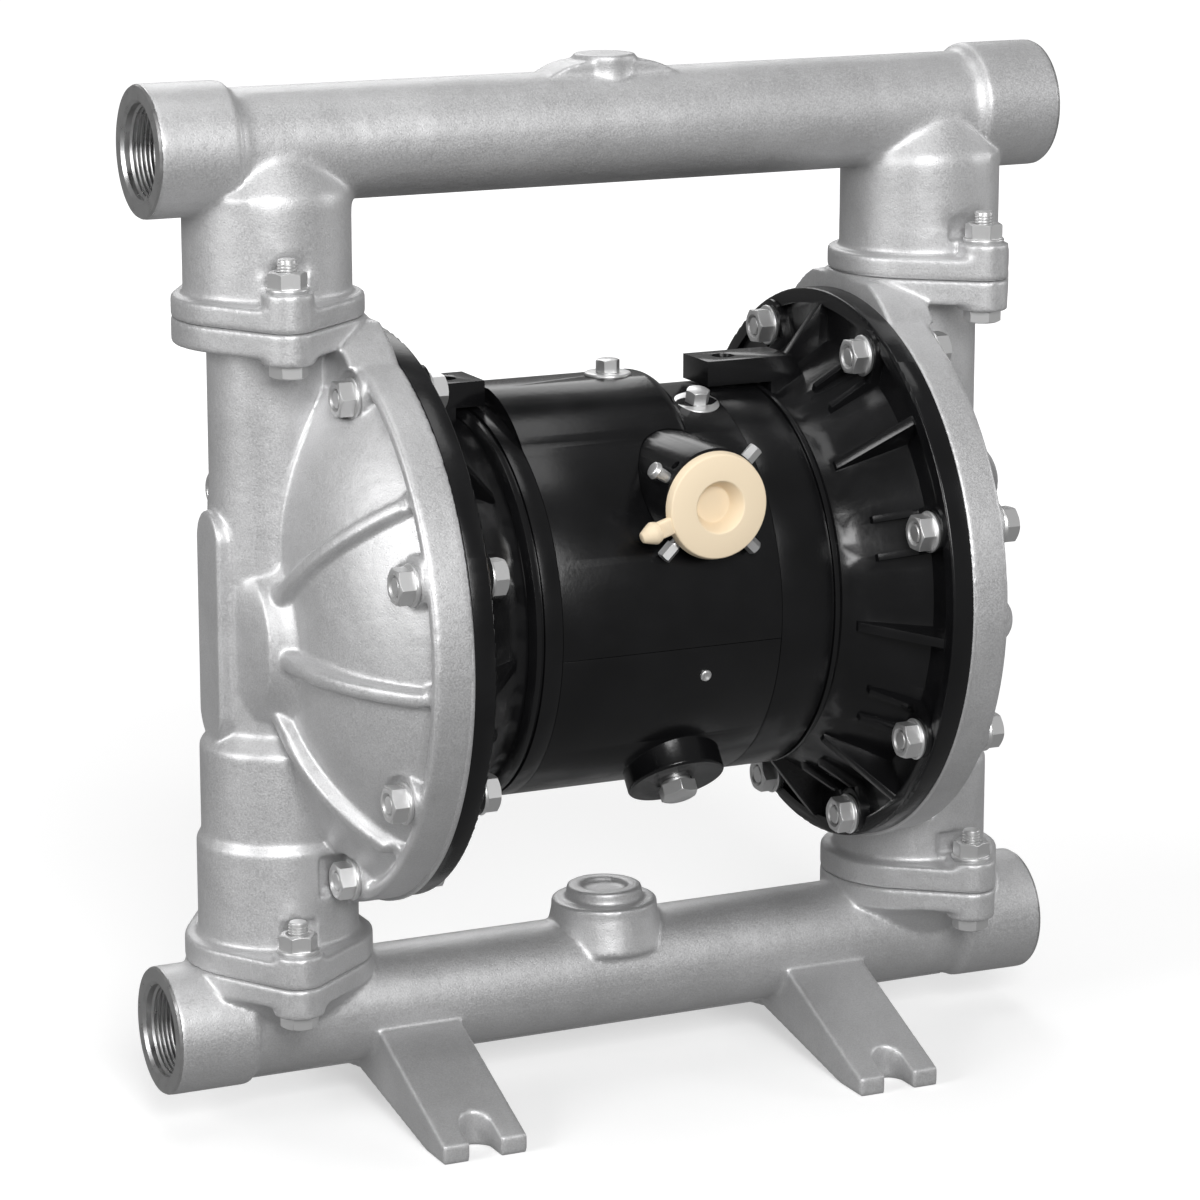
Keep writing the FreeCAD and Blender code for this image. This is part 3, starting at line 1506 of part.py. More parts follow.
def air_valve():
    """The sleeve, the spool that shifts inside it and the caps that close its bore."""
    height = f"{AXIS} + valve_rise"
    bore = "spool_radius + spool_fit"
    tube = turned("sleeve_tube", [
        (bore, "-sleeve_half"),
        ("sleeve_radius", "-sleeve_half"),
        ("sleeve_radius", "sleeve_half"),
        (bore, "sleeve_half"),
    ], ("0", "0", height), "X")
    ports = [
        cylinder(f"sleeve_port_{number}", "sleeve_port", "2*sleeve_radius", (f"{number}*2*spool_land", "0", f"{height} - sleeve_radius"))
        for number in (-1, 0, 1)
    ]
    node(cut("valve_sleeve", tube, ports))
    end_land = "spool_half - 2*spool_land"
    spool = [
        ("0", "-spool_half"),
        ("spool_radius", "-spool_half"),
        ("spool_radius", f"-({end_land})"),
        ("spool_neck", f"-({end_land})"),
        ("spool_neck", "-spool_land"),
        ("spool_radius", "-spool_land"),
        ("spool_radius", "spool_land"),
        ("spool_neck", "spool_land"),
        ("spool_neck", end_land),
        ("spool_radius", end_land),
        ("spool_radius", "spool_half"),
        ("0", "spool_half"),
    ]
    node(turned("valve_spool", spool, ("0", "0", height), "X"))
    cap = cylinder("right_valve_cap", "sleeve_radius - thread_gap", "valve_cap_length", ("sleeve_half", "0", height), "X")
    node_both_sides("valve_cap", cap)


def pilot_valves():
    """The sprung pins that the inner plates push at the end of each stroke."""
    height = f"{AXIS} - pilot_drop"
    start = "body_half - pilot_bush_length"
    bore = "pilot_radius + spool_fit"
    bush = [
        (bore, start),
        ("pilot_bush_radius", start),
        ("pilot_bush_radius", "body_half"),
        (bore, "body_half"),
    ]
    node_both_sides("pilot_bush", turned("right_pilot_bush", bush, ("0", "0", height), "X"))
    tip = f"{CAP_FLOOR} + pilot_travel/2"
    pin = cylinder("right_pilot_pin", "pilot_radius", "pilot_length", (f"{tip} - pilot_length", "0", height), "X")
    node_both_sides("pilot_pin", pin)


fill_sheet()
upper_manifold()
lower_manifold()
fluid_chambers()
air_caps()
centre_body()
upper_cover()
lower_cover()
drain_plug()
inlet_plug()
inlet_screws()
cover_fasteners()
wheel_fasteners()
joint_fasteners("discharge", HIGH_JOINT, "manifold_ear", "chamber_ear")
joint_fasteners("suction", LOW_JOINT, "chamber_ear", "chamber_ear")
diaphragms()
rod_group()
rod_guides()
valve_seats_and_balls()
air_valve()
pilot_valves()
doc.recompute()

for thing in doc.Objects:
    if "Invalid" in thing.State or "Error" in thing.State:
        raise RuntimeError("not built: " + thing.Label)
for piece in nodes:
    shape = piece.Shape
    if shape.isNull() or not shape.isValid():
        raise RuntimeError("bad shape: " + piece.Label)
    shape.exportStep(f"parts/{piece.Label}.step")
    print(piece.Label, len(shape.Solids), round(shape.Volume))
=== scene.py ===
"""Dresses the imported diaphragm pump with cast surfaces, fasteners, finishes and a studio."""

import json
import math

import bpy
import numpy as np
from bpy.props import FloatProperty, FloatVectorProperty, IntProperty, PointerProperty
from mathutils import Matrix, Vector

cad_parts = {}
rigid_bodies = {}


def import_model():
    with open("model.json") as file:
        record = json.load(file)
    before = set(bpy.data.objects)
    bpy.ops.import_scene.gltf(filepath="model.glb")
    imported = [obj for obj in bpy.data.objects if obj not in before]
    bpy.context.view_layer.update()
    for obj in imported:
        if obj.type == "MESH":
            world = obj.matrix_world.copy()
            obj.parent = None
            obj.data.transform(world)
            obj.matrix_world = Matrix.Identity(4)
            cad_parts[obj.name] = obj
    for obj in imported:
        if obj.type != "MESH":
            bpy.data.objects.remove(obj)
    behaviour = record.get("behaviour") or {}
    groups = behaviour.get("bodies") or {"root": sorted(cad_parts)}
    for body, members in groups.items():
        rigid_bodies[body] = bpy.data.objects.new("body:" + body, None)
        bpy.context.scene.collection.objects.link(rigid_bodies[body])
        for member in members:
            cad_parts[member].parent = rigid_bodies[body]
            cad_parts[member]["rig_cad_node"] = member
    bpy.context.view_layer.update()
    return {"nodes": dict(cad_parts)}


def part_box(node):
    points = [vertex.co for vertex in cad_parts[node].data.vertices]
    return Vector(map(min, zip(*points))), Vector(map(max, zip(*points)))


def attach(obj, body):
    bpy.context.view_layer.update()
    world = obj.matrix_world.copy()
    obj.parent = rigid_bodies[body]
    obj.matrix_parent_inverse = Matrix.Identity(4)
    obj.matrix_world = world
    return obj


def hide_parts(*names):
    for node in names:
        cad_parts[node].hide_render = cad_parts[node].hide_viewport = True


bl_info = {
    "name": "Diaphragm pump dressing",
    "version": (1, 0, 0),
    "blender": (4, 5, 0),
    "location": "3D View > Sidebar > Pump",
    "description": "Cast surfaces, fasteners, finishes and studio for a diaphragm pump",
    "category": "Object",
}

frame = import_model()
nodes = frame["nodes"]

MM = 0.001
SIDES = ("right", "left")
TRIANGLE_LIMIT = 185000
MERGE_DISTANCE = 0.001 * MM
FRONT = Vector((0, -1, 0))
AXIS = (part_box("right_wheel_studs")[0].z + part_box("right_wheel_studs")[1].z) / 2

# Places read off the photograph: lengths in millimetres, angles in degrees.
COLUMN_ACROSS = 184
PORT_HEIGHTS = {"upper_manifold": 499.5, "lower_manifold": 52}
RIB_ANGLES = (38, -1.5, -44)
WHEEL_BOLT_ANGLES = (-70.5, -30.5, 19, 66.5)
JOINT_BOLT_ACROSS = 193.5
JOINT_BOLT_ALONG = 52
INLET_ACROSS = 11
INLET_RISE = 63.3

# Name, azimuth and elevation in degrees, distance and size in metres, power in watts.
LAMPS = (
    ("key", -14, 26, 4.0, 1.5, 113.0),
    ("left", -79, 20, 3.6, 1.5, 62.0),
    ("top", 0, 84, 3.0, 1.3, 14.0),
    ("right", 72, 15, 3.6, 1.0, 19.0),
    ("back", 165, 38, 3.5, 1.8, 26.0),
)
TARGET = Vector((-0.00234, 0.0, 0.25206))
LENS = 129.75
SENSOR = 36.0


class Shade:
    """One value in a material's node tree, with arithmetic."""

    def __init__(self, tree, socket):
        self.tree = tree
        self.socket = socket

    def node(self, kind, inputs=(), output=0, **settings):
        """Adds a node with its settings, fed from other values or plain numbers."""
        made = self.tree.nodes.new(kind)
        for name, setting in settings.items():
            setattr(made, name, setting)
        for name, value in dict(inputs).items():
            if isinstance(value, Shade):
                self.tree.links.new(value.socket, made.inputs[name])
            else:
                made.inputs[name].default_value = value
        return Shade(self.tree, made.outputs[output])

    def __add__(self, other):
        return self.node("ShaderNodeMath", {0: self, 1: other}, operation="ADD")

    def __mul__(self, other):
        return self.node("ShaderNodeMath", {0: self, 1: other}, operation="MULTIPLY")

    __radd__ = __add__
    __rmul__ = __mul__

    def noise(self, scale, detail=2.0, roughness=0.5):
        """A soft cloud pattern, from 0 to 1, with features of about 1/scale metres."""
        inputs = {"Vector": self, "Scale": scale, "Detail": detail, "Roughness": roughness}
        return self.node("ShaderNodeTexNoise", inputs)

    def cells(self, scale):
        """The distance to the nearest of many scattered points, from 0 up."""
        return self.node("ShaderNodeTexVoronoi", {"Vector": self, "Scale": scale})

    def between(self, low, high, start=0.0, end=1.0):
        """Maps low..high to start..end, and stops at both."""
        inputs = {"Value": self, "From Min": low, "From Max": high, "To Min": start, "To Max": end}
        return self.node("ShaderNodeMapRange", inputs)

    def tint(self, first, second):
        """A colour that goes from the first to the second as this value goes from 0 to 1."""
        inputs = {0: self, 6: (*first, 1.0), 7: (*second, 1.0)}
        return self.node("ShaderNodeMix", inputs, output=2, data_type="RGBA")


class Finish:
    """A material with a principled shader, fed by values over the object's own space."""

    def __init__(self, name, **constants):
        self.material = bpy.data.materials.new(name)
        self.material.use_nodes = True
        self.tree = self.material.node_tree
        self.shader = self.tree.nodes["Principled BSDF"]
        for constant, value in constants.items():
            socket = constant.replace("_", " ").title().replace("Ior", "IOR")
            self.shader.inputs[socket].default_value = value
        place = self.tree.nodes.new("ShaderNodeTexCoord")
        self.place = Shade(self.tree, place.outputs["Object"])

    def feed(self, socket, value):
        """Links a value into one of the shader's sockets."""
        self.tree.links.new(value.socket, self.shader.inputs[socket])

    def bump(self, height, distance, strength=1.0, over=None):
        """Relief of a real height in metres, over an earlier relief if one is given."""
        inputs = {"Height": height, "Distance": distance, "Strength": strength}
        if over:
            inputs["Normal"] = over
        return height.node("ShaderNodeBump", inputs)


def scaled(colour, share):
    """A colour made darker or brighter, no brighter than white."""
    return [min(channel * share, 1.0) for channel in colour]


def cast_finish(name, colour, roughness=0.5):
    """Blasted aluminium casting: fine grain, small pits, faint clouds and waves."""
    finish = Finish(name, metallic=0.72)
    grain = finish.place.noise(1150.0, 2.0, 0.7)
    pits = finish.place.cells(520.0).between(0.05, 0.3)
    clouds = finish.place.noise(24.0, 4.0, 0.6)
    waves = finish.place.noise(60.0, 2.0)
    speckle = (grain * 0.6 + clouds * 0.4).between(0.36, 0.64)
    finish.feed("Base Color", speckle.tint(scaled(colour, 0.84), scaled(colour, 1.1)))
    finish.feed("Roughness", grain.between(0.35, 0.65, roughness - 0.08, roughness + 0.08))
    relief = finish.bump(waves, 0.0012, 0.45)
    relief = finish.bump(pits, 0.0001, 0.4, relief)
    finish.feed("Normal", finish.bump(grain, 0.00016, 0.5, relief))
    return finish


def coat_finish(name, colour):
    """Smooth black coating over a casting, with a faint orange peel and a satin gloss."""
    finish = Finish(name, metallic=0.0, specular_ior_level=0.36)
    peel = finish.place.noise(380.0, 2.0)
    clouds = finish.place.noise(30.0, 3.0)
    finish.feed("Base Color", clouds.between(0.35, 0.65).tint(colour, scaled(colour, 1.5)))
    finish.feed("Roughness", clouds.between(0.3, 0.7, 0.19, 0.27))
    finish.feed("Normal", finish.bump(peel, 0.00012, 0.4))
    return finish


def steel_finish(name, colour, low=0.15, high=0.27):
    """Bright metal with fine tool marks and faint stains."""
    finish = Finish(name, metallic=1.0)
    marks = finish.place.noise(1800.0, 2.0)
    stains = finish.place.noise(160.0, 3.0)
    mottle = (marks * 0.5 + stains * 0.5).between(0.35, 0.65)
    finish.feed("Base Color", mottle.tint(scaled(colour, 0.84), colour))
    finish.feed("Roughness", stains.between(0.3, 0.7, low, high))
    finish.feed("Normal", finish.bump(marks, 0.00004, 0.5))
    return finish


def plain_finish(name, colour, roughness, metallic=0.0, **constants):
    """One tone with slight clouds and a fine relief."""
    finish = Finish(name, metallic=metallic, **constants)
    clouds = finish.place.noise(300.0, 3.0)
    finish.feed("Base Color", clouds.between(0.3, 0.7).tint(scaled(colour, 0.9), colour))
    finish.feed("Roughness", clouds.between(0.3, 0.7, roughness * 0.85, roughness))
    finish.feed("Normal", finish.bump(clouds, 0.0001, 0.4))
    return finish


def finish_named(name):
    """The material of that name, made when it is first asked for."""
    found = bpy.data.materials.get(name)
    if found:
        return found
    colours = bpy.context.scene.pump_finishes
    makers = {
        "cast_aluminium": lambda: cast_finish(name, colours.cast_colour),
        "machined_aluminium": lambda: steel_finish(name, (0.6, 0.6, 0.6), 0.26, 0.4),
        "black_coating": lambda: coat_finish(name, colours.coat_colour),
        "bright_steel": lambda: steel_finish(name, colours.steel_colour),
        "cream_plastic": lambda: plain_finish(
            name, colours.plug_colour, 0.46, subsurface_weight=0.12),
        "moulded_rubber": lambda: plain_finish(name, (0.018, 0.018, 0.018), 0.7),
        "turned_aluminium": lambda: plain_finish(name, (0.6, 0.6, 0.62), 0.3, 1.0),
        "seat_plastic": lambda: plain_finish(name, (0.72, 0.72, 0.66), 0.5),
        "ball_rubber": lambda: plain_finish(name, (0.7, 0.68, 0.62), 0.55),
        "bush_brass": lambda: plain_finish(name, (0.7, 0.48, 0.2), 0.3, 1.0),
    }
    return makers[name]().material


def active():
    """The active object."""
    return bpy.context.view_layer.objects.active


def object_mode():
    """Closes edit mode."""
    bpy.ops.object.mode_set(mode="OBJECT")


def select_only(*things):
    """Leaves only these objects selected, in object mode, with the last one active."""
    if active() and active().mode != "OBJECT":
        object_mode()
    bpy.ops.object.select_all(action="DESELECT")
    for thing in things:
        thing.select_set(True)
        bpy.context.view_layer.objects.active = thing


def edit(thing):
    """Opens an object in edit mode with everything selected."""
    select_only(thing)
    bpy.ops.object.mode_set(mode="EDIT")
    bpy.ops.mesh.select_mode(type="VERT")
    bpy.ops.mesh.select_all(action="SELECT")


def pick(piece, chosen):
    """Opens a piece in edit mode with only the vertices selected that a test picks."""
    select_only(piece)
    for edge in piece.data.edges:
        edge.select = False
    for face in piece.data.polygons:
        face.select = False
    for vertex in piece.data.vertices:
        vertex.select = chosen(vertex)
    bpy.ops.object.mode_set(mode="EDIT")
    bpy.ops.mesh.select_mode(type="VERT")


def merge_all():
    """Selects everything in edit mode and joins the points that lie on each other."""
    bpy.ops.mesh.select_all(action="SELECT")
    bpy.ops.mesh.remove_doubles(threshold=MERGE_DISTANCE)


def face_outward(piece):
    """Turns all the faces of a closed piece outward."""
    edit(piece)
    bpy.ops.mesh.normals_make_consistent(inside=False)
    object_mode()


def modify(piece, kind, **settings):
    """Adds a modifier with its settings and applies it."""
    select_only(piece)
    bpy.ops.object.modifier_add(type=kind)
    modifier = piece.modifiers[-1]
    for name, setting in settings.items():
        setattr(modifier, name, setting)
    bpy.ops.object.modifier_apply(modifier=modifier.name)
    return piece


def bevelled(piece, width, segments, angle):
    """Rounds the edges that are sharper than an angle in degrees, by a width in millimetres."""
    return modify(piece, "BEVEL", width=width * MM, segments=segments,
                  limit_method="ANGLE", angle_limit=math.radians(angle))


def duplicate(thing):
    """A copy of an object with its own mesh."""
    select_only(thing)
    bpy.ops.object.duplicate()
    return active()


def merged_copy(node, name):
    """A copy of a CAD node's mesh with its loose triangles joined."""
    piece = duplicate(nodes[node])
    del piece["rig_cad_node"]
    piece.name = name
    edit(piece)
    merge_all()
    object_mode()
    return piece


def traced(name, points):
    """A line of edges through points, drawn by extruding one vertex, left in edit mode."""
    select_only()
    bpy.ops.mesh.primitive_plane_add(size=MM)
    piece = active()
    piece.name = name
    edit(piece)
    bpy.ops.mesh.merge(type="CENTER")
    bpy.ops.transform.translate(value=points[0])
    for start, end in zip(points, points[1:]):
        step = Vector(end) - Vector(start)
        bpy.ops.mesh.extrude_region_move(TRANSFORM_OT_translate={"value": step})
    return piece


def softened(corners, steps=4):
    """Rounds the corners of an outline that are given a third number, their radius."""
    outline = []
    for number, corner in enumerate(corners):
        if len(corner) < 3:
            outline.append(Vector(corner))
            continue
        here = Vector(corner[:2])
        before = (Vector(corners[number - 1][:2]) - here).normalized()
        after = (Vector(corners[(number + 1) % len(corners)][:2]) - here).normalized()
        half = before.angle(after) / 2
        reach = corner[2] / math.tan(half)
        centre = here + (before + after).normalized() * corner[2] / math.sin(half)
        first = here + before * reach - centre
        last = here + after * reach - centre
        for step in range(steps + 1):
            outline.append(centre + first.slerp(last, step / steps))
    return outline


def lathe(name, corners, steps=48, closed=False):
    """A turned piece about Z from an outline of (radius, height, rounding) in millimetres."""
    outline = [Vector((radius, 0.0, height)) * MM for radius, height in softened(corners)]
    if closed:
        outline.append(outline[0])
    piece = traced(name, outline)
    merge_all()
    bpy.ops.mesh.spin(steps=steps, angle=math.tau, center=(0.0, 0.0, 0.0), axis=(0.0, 0.0, 1.0))
    merge_all()
    bpy.ops.mesh.normals_make_consistent(inside=False)
    object_mode()
    return piece


def hexed(piece, corner, length):
    """Cuts a turned piece down to a hexagon with flats, so that its chamfers curve."""
    select_only()
    bpy.ops.mesh.primitive_cylinder_add(vertices=6, radius=corner * MM, depth=2 * length * MM)
    bar = active()
    modify(piece, "BOOLEAN", operation="INTERSECT", object=bar, solver="EXACT")
    drop(bar)
    return bevelled(piece, 0.12, 1, 28)


def spiral(name, root, crest, pitch, turns, start, steps=40):
    """A screw thread's ridge about Z, with closed ends, in millimetres."""
    corners = [(root, start), (crest, start + pitch / 2), (root, start + pitch)]
    ring = [Vector((radius, 0.0, height)) * MM for radius, height in [*corners, corners[0]]]
    piece = traced(name, ring)
    merge_all()
    object_mode()
    modify(piece, "SCREW", axis="Z", angle=math.tau, screw_offset=pitch * MM, iterations=turns,
           steps=steps, render_steps=steps, use_merge_vertices=False)
    count = len(piece.data.vertices)
    for end in (range(3), range(count - 3, count)):
        pick(piece, lambda vertex: vertex.index in end)
        bpy.ops.mesh.edge_face_add()
        object_mode()
    face_outward(piece)
    return piece


def joined(name, pieces):
    """Joins pieces into one object at the origin, with their places in its mesh."""
    select_only(*pieces)
    bpy.ops.object.transform_apply(location=True, rotation=True, scale=True)
    if len(pieces) > 1:
        bpy.ops.object.join()
    piece = active()
    piece.name = name
    return piece


def set_out(name, pattern, places):
    """Copies a modelled piece to each place and joins the copies."""
    copies = []
    for place in places:
        copy = duplicate(pattern)
        copy.matrix_world = place
        copies.append(copy)
    return joined(name, copies)


def finish_piece(piece, material, slot, body, *replaced, angle=35.0):
    """Shades a piece, gives it its finish and its body, and hides the nodes that it stands for."""
    select_only(piece)
    bpy.ops.object.shade_smooth_by_angle(angle=math.radians(angle))
    piece.data.materials.clear()
    piece.data.materials.append(finish_named(material))
    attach(piece, body)
    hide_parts(*replaced)
    return piece


def finish_steel(piece, *replaced, angle=20.0):
    """Finishes a steel fastener of the housing."""
    return finish_piece(piece, "bright_steel", "bright_steel", "housing", *replaced, angle=angle)


def finish_casting(piece, node):
    """Finishes an aluminium casting that stands for a CAD node."""
    return finish_piece(piece, "cast_aluminium", "cast_fluid", "housing", node, angle=60.0)


def drop(*pieces):
    """Removes patterns and cutters that have been used."""
    for piece in pieces:
        bpy.data.objects.remove(piece)


def aimed(direction, at, turn=0.0):
    """The place of a piece turned about its own Z, with Z aimed along a direction."""
    turned = Vector(direction).to_track_quat("Z", "Y").to_matrix().to_4x4()
    return Matrix.Translation(at) @ turned @ Matrix.Rotation(math.radians(turn), 4, "Z")


def extent(node, axis):
    """The lowest and highest place of a CAD node along an axis, in millimetres."""
    return [getattr(corner, axis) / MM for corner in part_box(node)]


def thickness(node, axis):
    """The size of a CAD node along an axis, in millimetres."""
    low, high = extent(node, axis)
    return high - low


def triangles(piece):
    """The number of triangles that a piece's faces make."""
    return sum(len(face.vertices) - 2 for face in piece.data.polygons)


def founded(piece, settings, blended=None):
    """Turns a merged copy into a casting: an even skin with rounded edges and filled corners.

    The skin is smoothed on into one curve where the test `blended` picks its points."""
    modify(piece, "REMESH", mode="VOXEL", voxel_size=settings.voxel * MM)
    modify(piece, "SMOOTH", factor=0.5, iterations=settings.cast_rounds)
    if blended:
        spots = np.empty(len(piece.data.vertices) * 3)
        piece.data.vertices.foreach_get("co", spots)
        chosen = np.flatnonzero(blended(spots.reshape(-1, 3)))
        piece.vertex_groups.new(name="blended").add(chosen.tolist(), 1.0, "REPLACE")
        modify(piece, "SMOOTH", factor=0.5, iterations=settings.blend_rounds,
               vertex_group="blended")
    if triangles(piece) > TRIANGLE_LIMIT:
        modify(piece, "DECIMATE", ratio=TRIANGLE_LIMIT / triangles(piece))
    return piece


class PumpFinishSettings(bpy.types.PropertyGroup):
    """Colours of the pump's surfaces."""

    cast_colour: FloatVectorProperty(
        name="Casting", description="Blasted aluminium of manifolds and chambers",
        subtype="COLOR", size=3, min=0.0, max=1.0, default=(0.6, 0.6, 0.605))
    coat_colour: FloatVectorProperty(
        name="Coating", description="Black coating of the caps and the centre body",
        subtype="COLOR", size=3, min=0.0, max=1.0, default=(0.004, 0.004, 0.0044))
    steel_colour: FloatVectorProperty(
        name="Steel", description="Nuts, bolts and washers",
        subtype="COLOR", size=3, min=0.0, max=1.0, default=(0.5, 0.485, 0.465))
    plug_colour: FloatVectorProperty(
        name="Plug", description="Cream plastic dust plug",
        subtype="COLOR", size=3, min=0.0, max=1.0, default=(0.78, 0.4, 0.13))


class PumpCastingSettings(bpy.types.PropertyGroup):
    """How the castings' skins are made."""

    voxel: FloatProperty(
        name="Skin grid", description="Width of the grid that the skin is drawn on, in millimetres",
        default=1.2, min=0.5)
    cast_rounds: IntProperty(
        name="Casting rounding", description="Smoothing passes over the aluminium castings",
        default=7, min=0)
    blend_rounds: IntProperty(
        name="Branch rounding", description="Further smoothing passes over the upper branches",
        default=70, min=0)
    cap_edge: FloatProperty(
        name="Cap edges", description="Rounding of the black caps' edges, in millimetres",
        default=0.8, min=0.1)
    drum_edge: FloatProperty(
        name="Drum edges", description="Rounding of the drum's edges, in millimetres",
        default=0.5, min=0.1)


class PumpFastenerSettings(bpy.types.PropertyGroup):
    """Sizes of the fasteners and threads, in millimetres."""

    stud: FloatProperty(
        name="Stud", description="Radius of the studs and bolts", default=5.0)
    nut_corner: FloatProperty(
        name="Nut", description="Radius of a nut over its corners", default=9.8)
    bolt_circle: FloatProperty(
        name="Bolt circle", description="Radius of the wheels' bolt circle", default=133.0)
    thread_pitch: FloatProperty(
        name="Stud thread", description="Pitch of the joint bolts' thread", default=1.5)
    port_pitch: FloatProperty(
        name="Port thread", description="Pitch of the ports' thread", default=2.309)
    port_crest: FloatProperty(
        name="Port crest", description="Radius of the ports' thread crest", default=22.5)


class PumpStageSettings(bpy.types.PropertyGroup):
    """Camera and surround."""

    azimuth: FloatProperty(
        name="Azimuth", description="Camera's direction round the pump",
        subtype="ANGLE", default=math.radians(-25.22))
    elevation: FloatProperty(
        name="Elevation", description="Camera's height above the horizon",
        subtype="ANGLE", default=math.radians(13.15))
    distance: FloatProperty(
        name="Distance", description="Camera's distance from its target",
        unit="LENGTH", default=2.2537)
    fill: FloatProperty(
        name="Surround", description="Strength of the white surround", default=0.24, min=0.0)


def dress(material, *names):
    """Gives CAD nodes a material."""
    for name in names:
        for spot in nodes[name].material_slots:
            spot.material = finish_named(material)


def both(*names):
    """The names of nodes that the pump has on both sides."""
    return [f"{side}_{name}" for side in SIDES for name in names]


class PUMP_OT_finishes(bpy.types.Operator):
    """Gives the CAD nodes that stay their finishes"""

    bl_idname = "pump.finishes"
    bl_label = "Finishes"

    def execute(self, context):
        dress("bright_steel", "connecting_rod", "valve_spool", *both("plate_bolt", "pilot_pin"))
        dress("moulded_rubber", *both("diaphragm", "rod_seal"))
        dress("turned_aluminium", *both("inner_plate", "outer_plate", "valve_cap"))
        dress("seat_plastic", *both("suction_seat", "discharge_seat"))
        dress("ball_rubber", *both("suction_ball", "discharge_ball"))
        dress("bush_brass", "valve_sleeve", *both("rod_bush", "pilot_bush"))
        return {"FINISHED"}


def branch_blend(spots):
    """Picks the saddle where an upper branch runs into the tube."""
    across = np.abs(spots[:, 0]) / MM
    height = spots[:, 2] / MM
    return (across > 142) & (across < 206) & (height > 440) & (height < 526)


def level_ends(piece, reach):
    """Presses both ends of a manifold flat, just inside the reach of the CAD's."""
    for way in (1, -1):
        pick(piece, lambda vertex: way * vertex.co.x > reach - 0.5 * MM)
        end = (way * (reach - 0.3 * MM), 0.0, 0.0)
        bpy.ops.transform.resize(value=(0.0, 1.0, 1.0), center_override=end)
        object_mode()


class PUMP_OT_manifolds(bpy.types.Operator):
    """Casts the two manifolds with rounded edges and filled corners"""

    bl_idname = "pump.manifolds"
    bl_label = "Manifolds"

    def execute(self, context):
        for node, blended in (("upper_manifold", branch_blend), ("lower_manifold", None)):
            piece = merged_copy(node, "cast_" + node)
            founded(piece, context.scene.pump_castings, blended)
            level_ends(piece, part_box(node)[1].x)
            finish_casting(piece, node)
        return {"FINISHED"}


def chamber_rib(angle):
    """A rib over the right chamber's dome, on an angle up from the front, as a closed bar."""
    hub_drop = 8.0
    bow_centre, bow_middle, bow_radius = 70.5, 48.8, 127.0
    rim_radius = 141.5
    width = 8.0
    depth = 14.0
    crest = []
    for reach in range(38, 160, 7):
        level, rise = reach * math.cos(angle), reach * math.sin(angle) - hub_drop
        radius = math.hypot(level, rise)
        if radius > rim_radius:
            break
        out = bow_centre + math.sqrt(bow_radius ** 2 - (radius - bow_middle) ** 2)
        crest.append(Vector((out * MM, -level * MM, AXIS + rise * MM)))
    foot = [point - Vector((depth * MM, 0, 0)) for point in reversed(crest)]
    piece = traced("rib", [*crest, *foot])
    bpy.ops.mesh.select_all(action="SELECT")
    bpy.ops.mesh.edge_face_add()
    object_mode()
    modify(piece, "SOLIDIFY", thickness=width * MM, offset=0.0)
    return bevelled(piece, 2.2, 3, 60)


def cage_liner():
    """A tube that lines the suction ball's cage in the right chamber."""
    seat = extent("right_fluid_chamber", "z")[0]
    piece = lathe("cage_liner", [
        (34.3, seat + 20), (37, seat + 20), (37, seat + 64), (34.3, seat + 64),
    ], steps=96, closed=True)
    piece.matrix_world = Matrix.Translation((COLUMN_ACROSS * MM, 0, 0))
    return piece


def rim_edge(way):
    """The turned edge of a chamber's mating face, on the right (1) or the left (-1)."""
    piece = lathe("rim_edge", [
        (140, 0), (145.9, 0), (146.4, 0.5), (146.4, 2.2), (145.3, 3.2), (140, 3.2),
    ], steps=180, closed=True)
    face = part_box("right_fluid_chamber")[0].x
    piece.matrix_world = aimed((way, 0, 0), (way * face, 0, AXIS))
    return piece


class PUMP_OT_chambers(bpy.types.Operator):
    """Casts the two fluid chambers, the left one as a mirror image of the right one"""

    bl_idname = "pump.chambers"
    bl_label = "Fluid chambers"

    def execute(self, context):
        right = merged_copy("right_fluid_chamber", "merged_right_fluid_chamber")
        ways = [way for front in RIB_ANGLES for way in (front, 180 - front)]
        ribs = [chamber_rib(math.radians(way)) for way in ways]
        right = joined("cast_right_fluid_chamber", [*ribs, cage_liner(), right])
        founded(right, context.scene.pump_castings)
        left = duplicate(right)
        left.name = "cast_left_fluid_chamber"
        edit(left)
        bpy.ops.transform.resize(value=(-1.0, 1.0, 1.0), center_override=(0.0, 0.0, 0.0))
        face_outward(left)
        for piece, way in ((right, 1), (left, -1)):
            piece = joined(piece.name, [rim_edge(way), piece])
            finish_casting(piece, piece.name.removeprefix("cast_"))
        return {"FINISHED"}


def coated(node, width):
    """A merged copy of a CAD node with its edges rounded, in the black coating."""
    piece = merged_copy(node, "coated_" + node)
    edit(piece)
    bpy.ops.mesh.dissolve_limited(angle_limit=math.radians(0.5))
    bevelled(piece, width, 2, 33)
    return finish_piece(piece, "black_coating", "black_coat", "housing", node)


class PUMP_OT_air_caps(bpy.types.Operator):
    """Rounds the edges of the two black air caps"""

    bl_idname = "pump.air_caps"
    bl_label = "Air caps"

    def execute(self, context):
        for node in both("air_cap"):
            coated(node, context.scene.pump_castings.cap_edge)
        return {"FINISHED"}


class PUMP_OT_drum(bpy.types.Operator):
    """Softens the edges of the centre body and its two covers"""

    bl_idname = "pump.drum"
    bl_label = "Drum"

    def execute(self, context):
        for node in ("centre_body", "upper_cover", "lower_cover"):
            coated(node, context.scene.pump_castings.drum_edge)
        return {"FINISHED"}


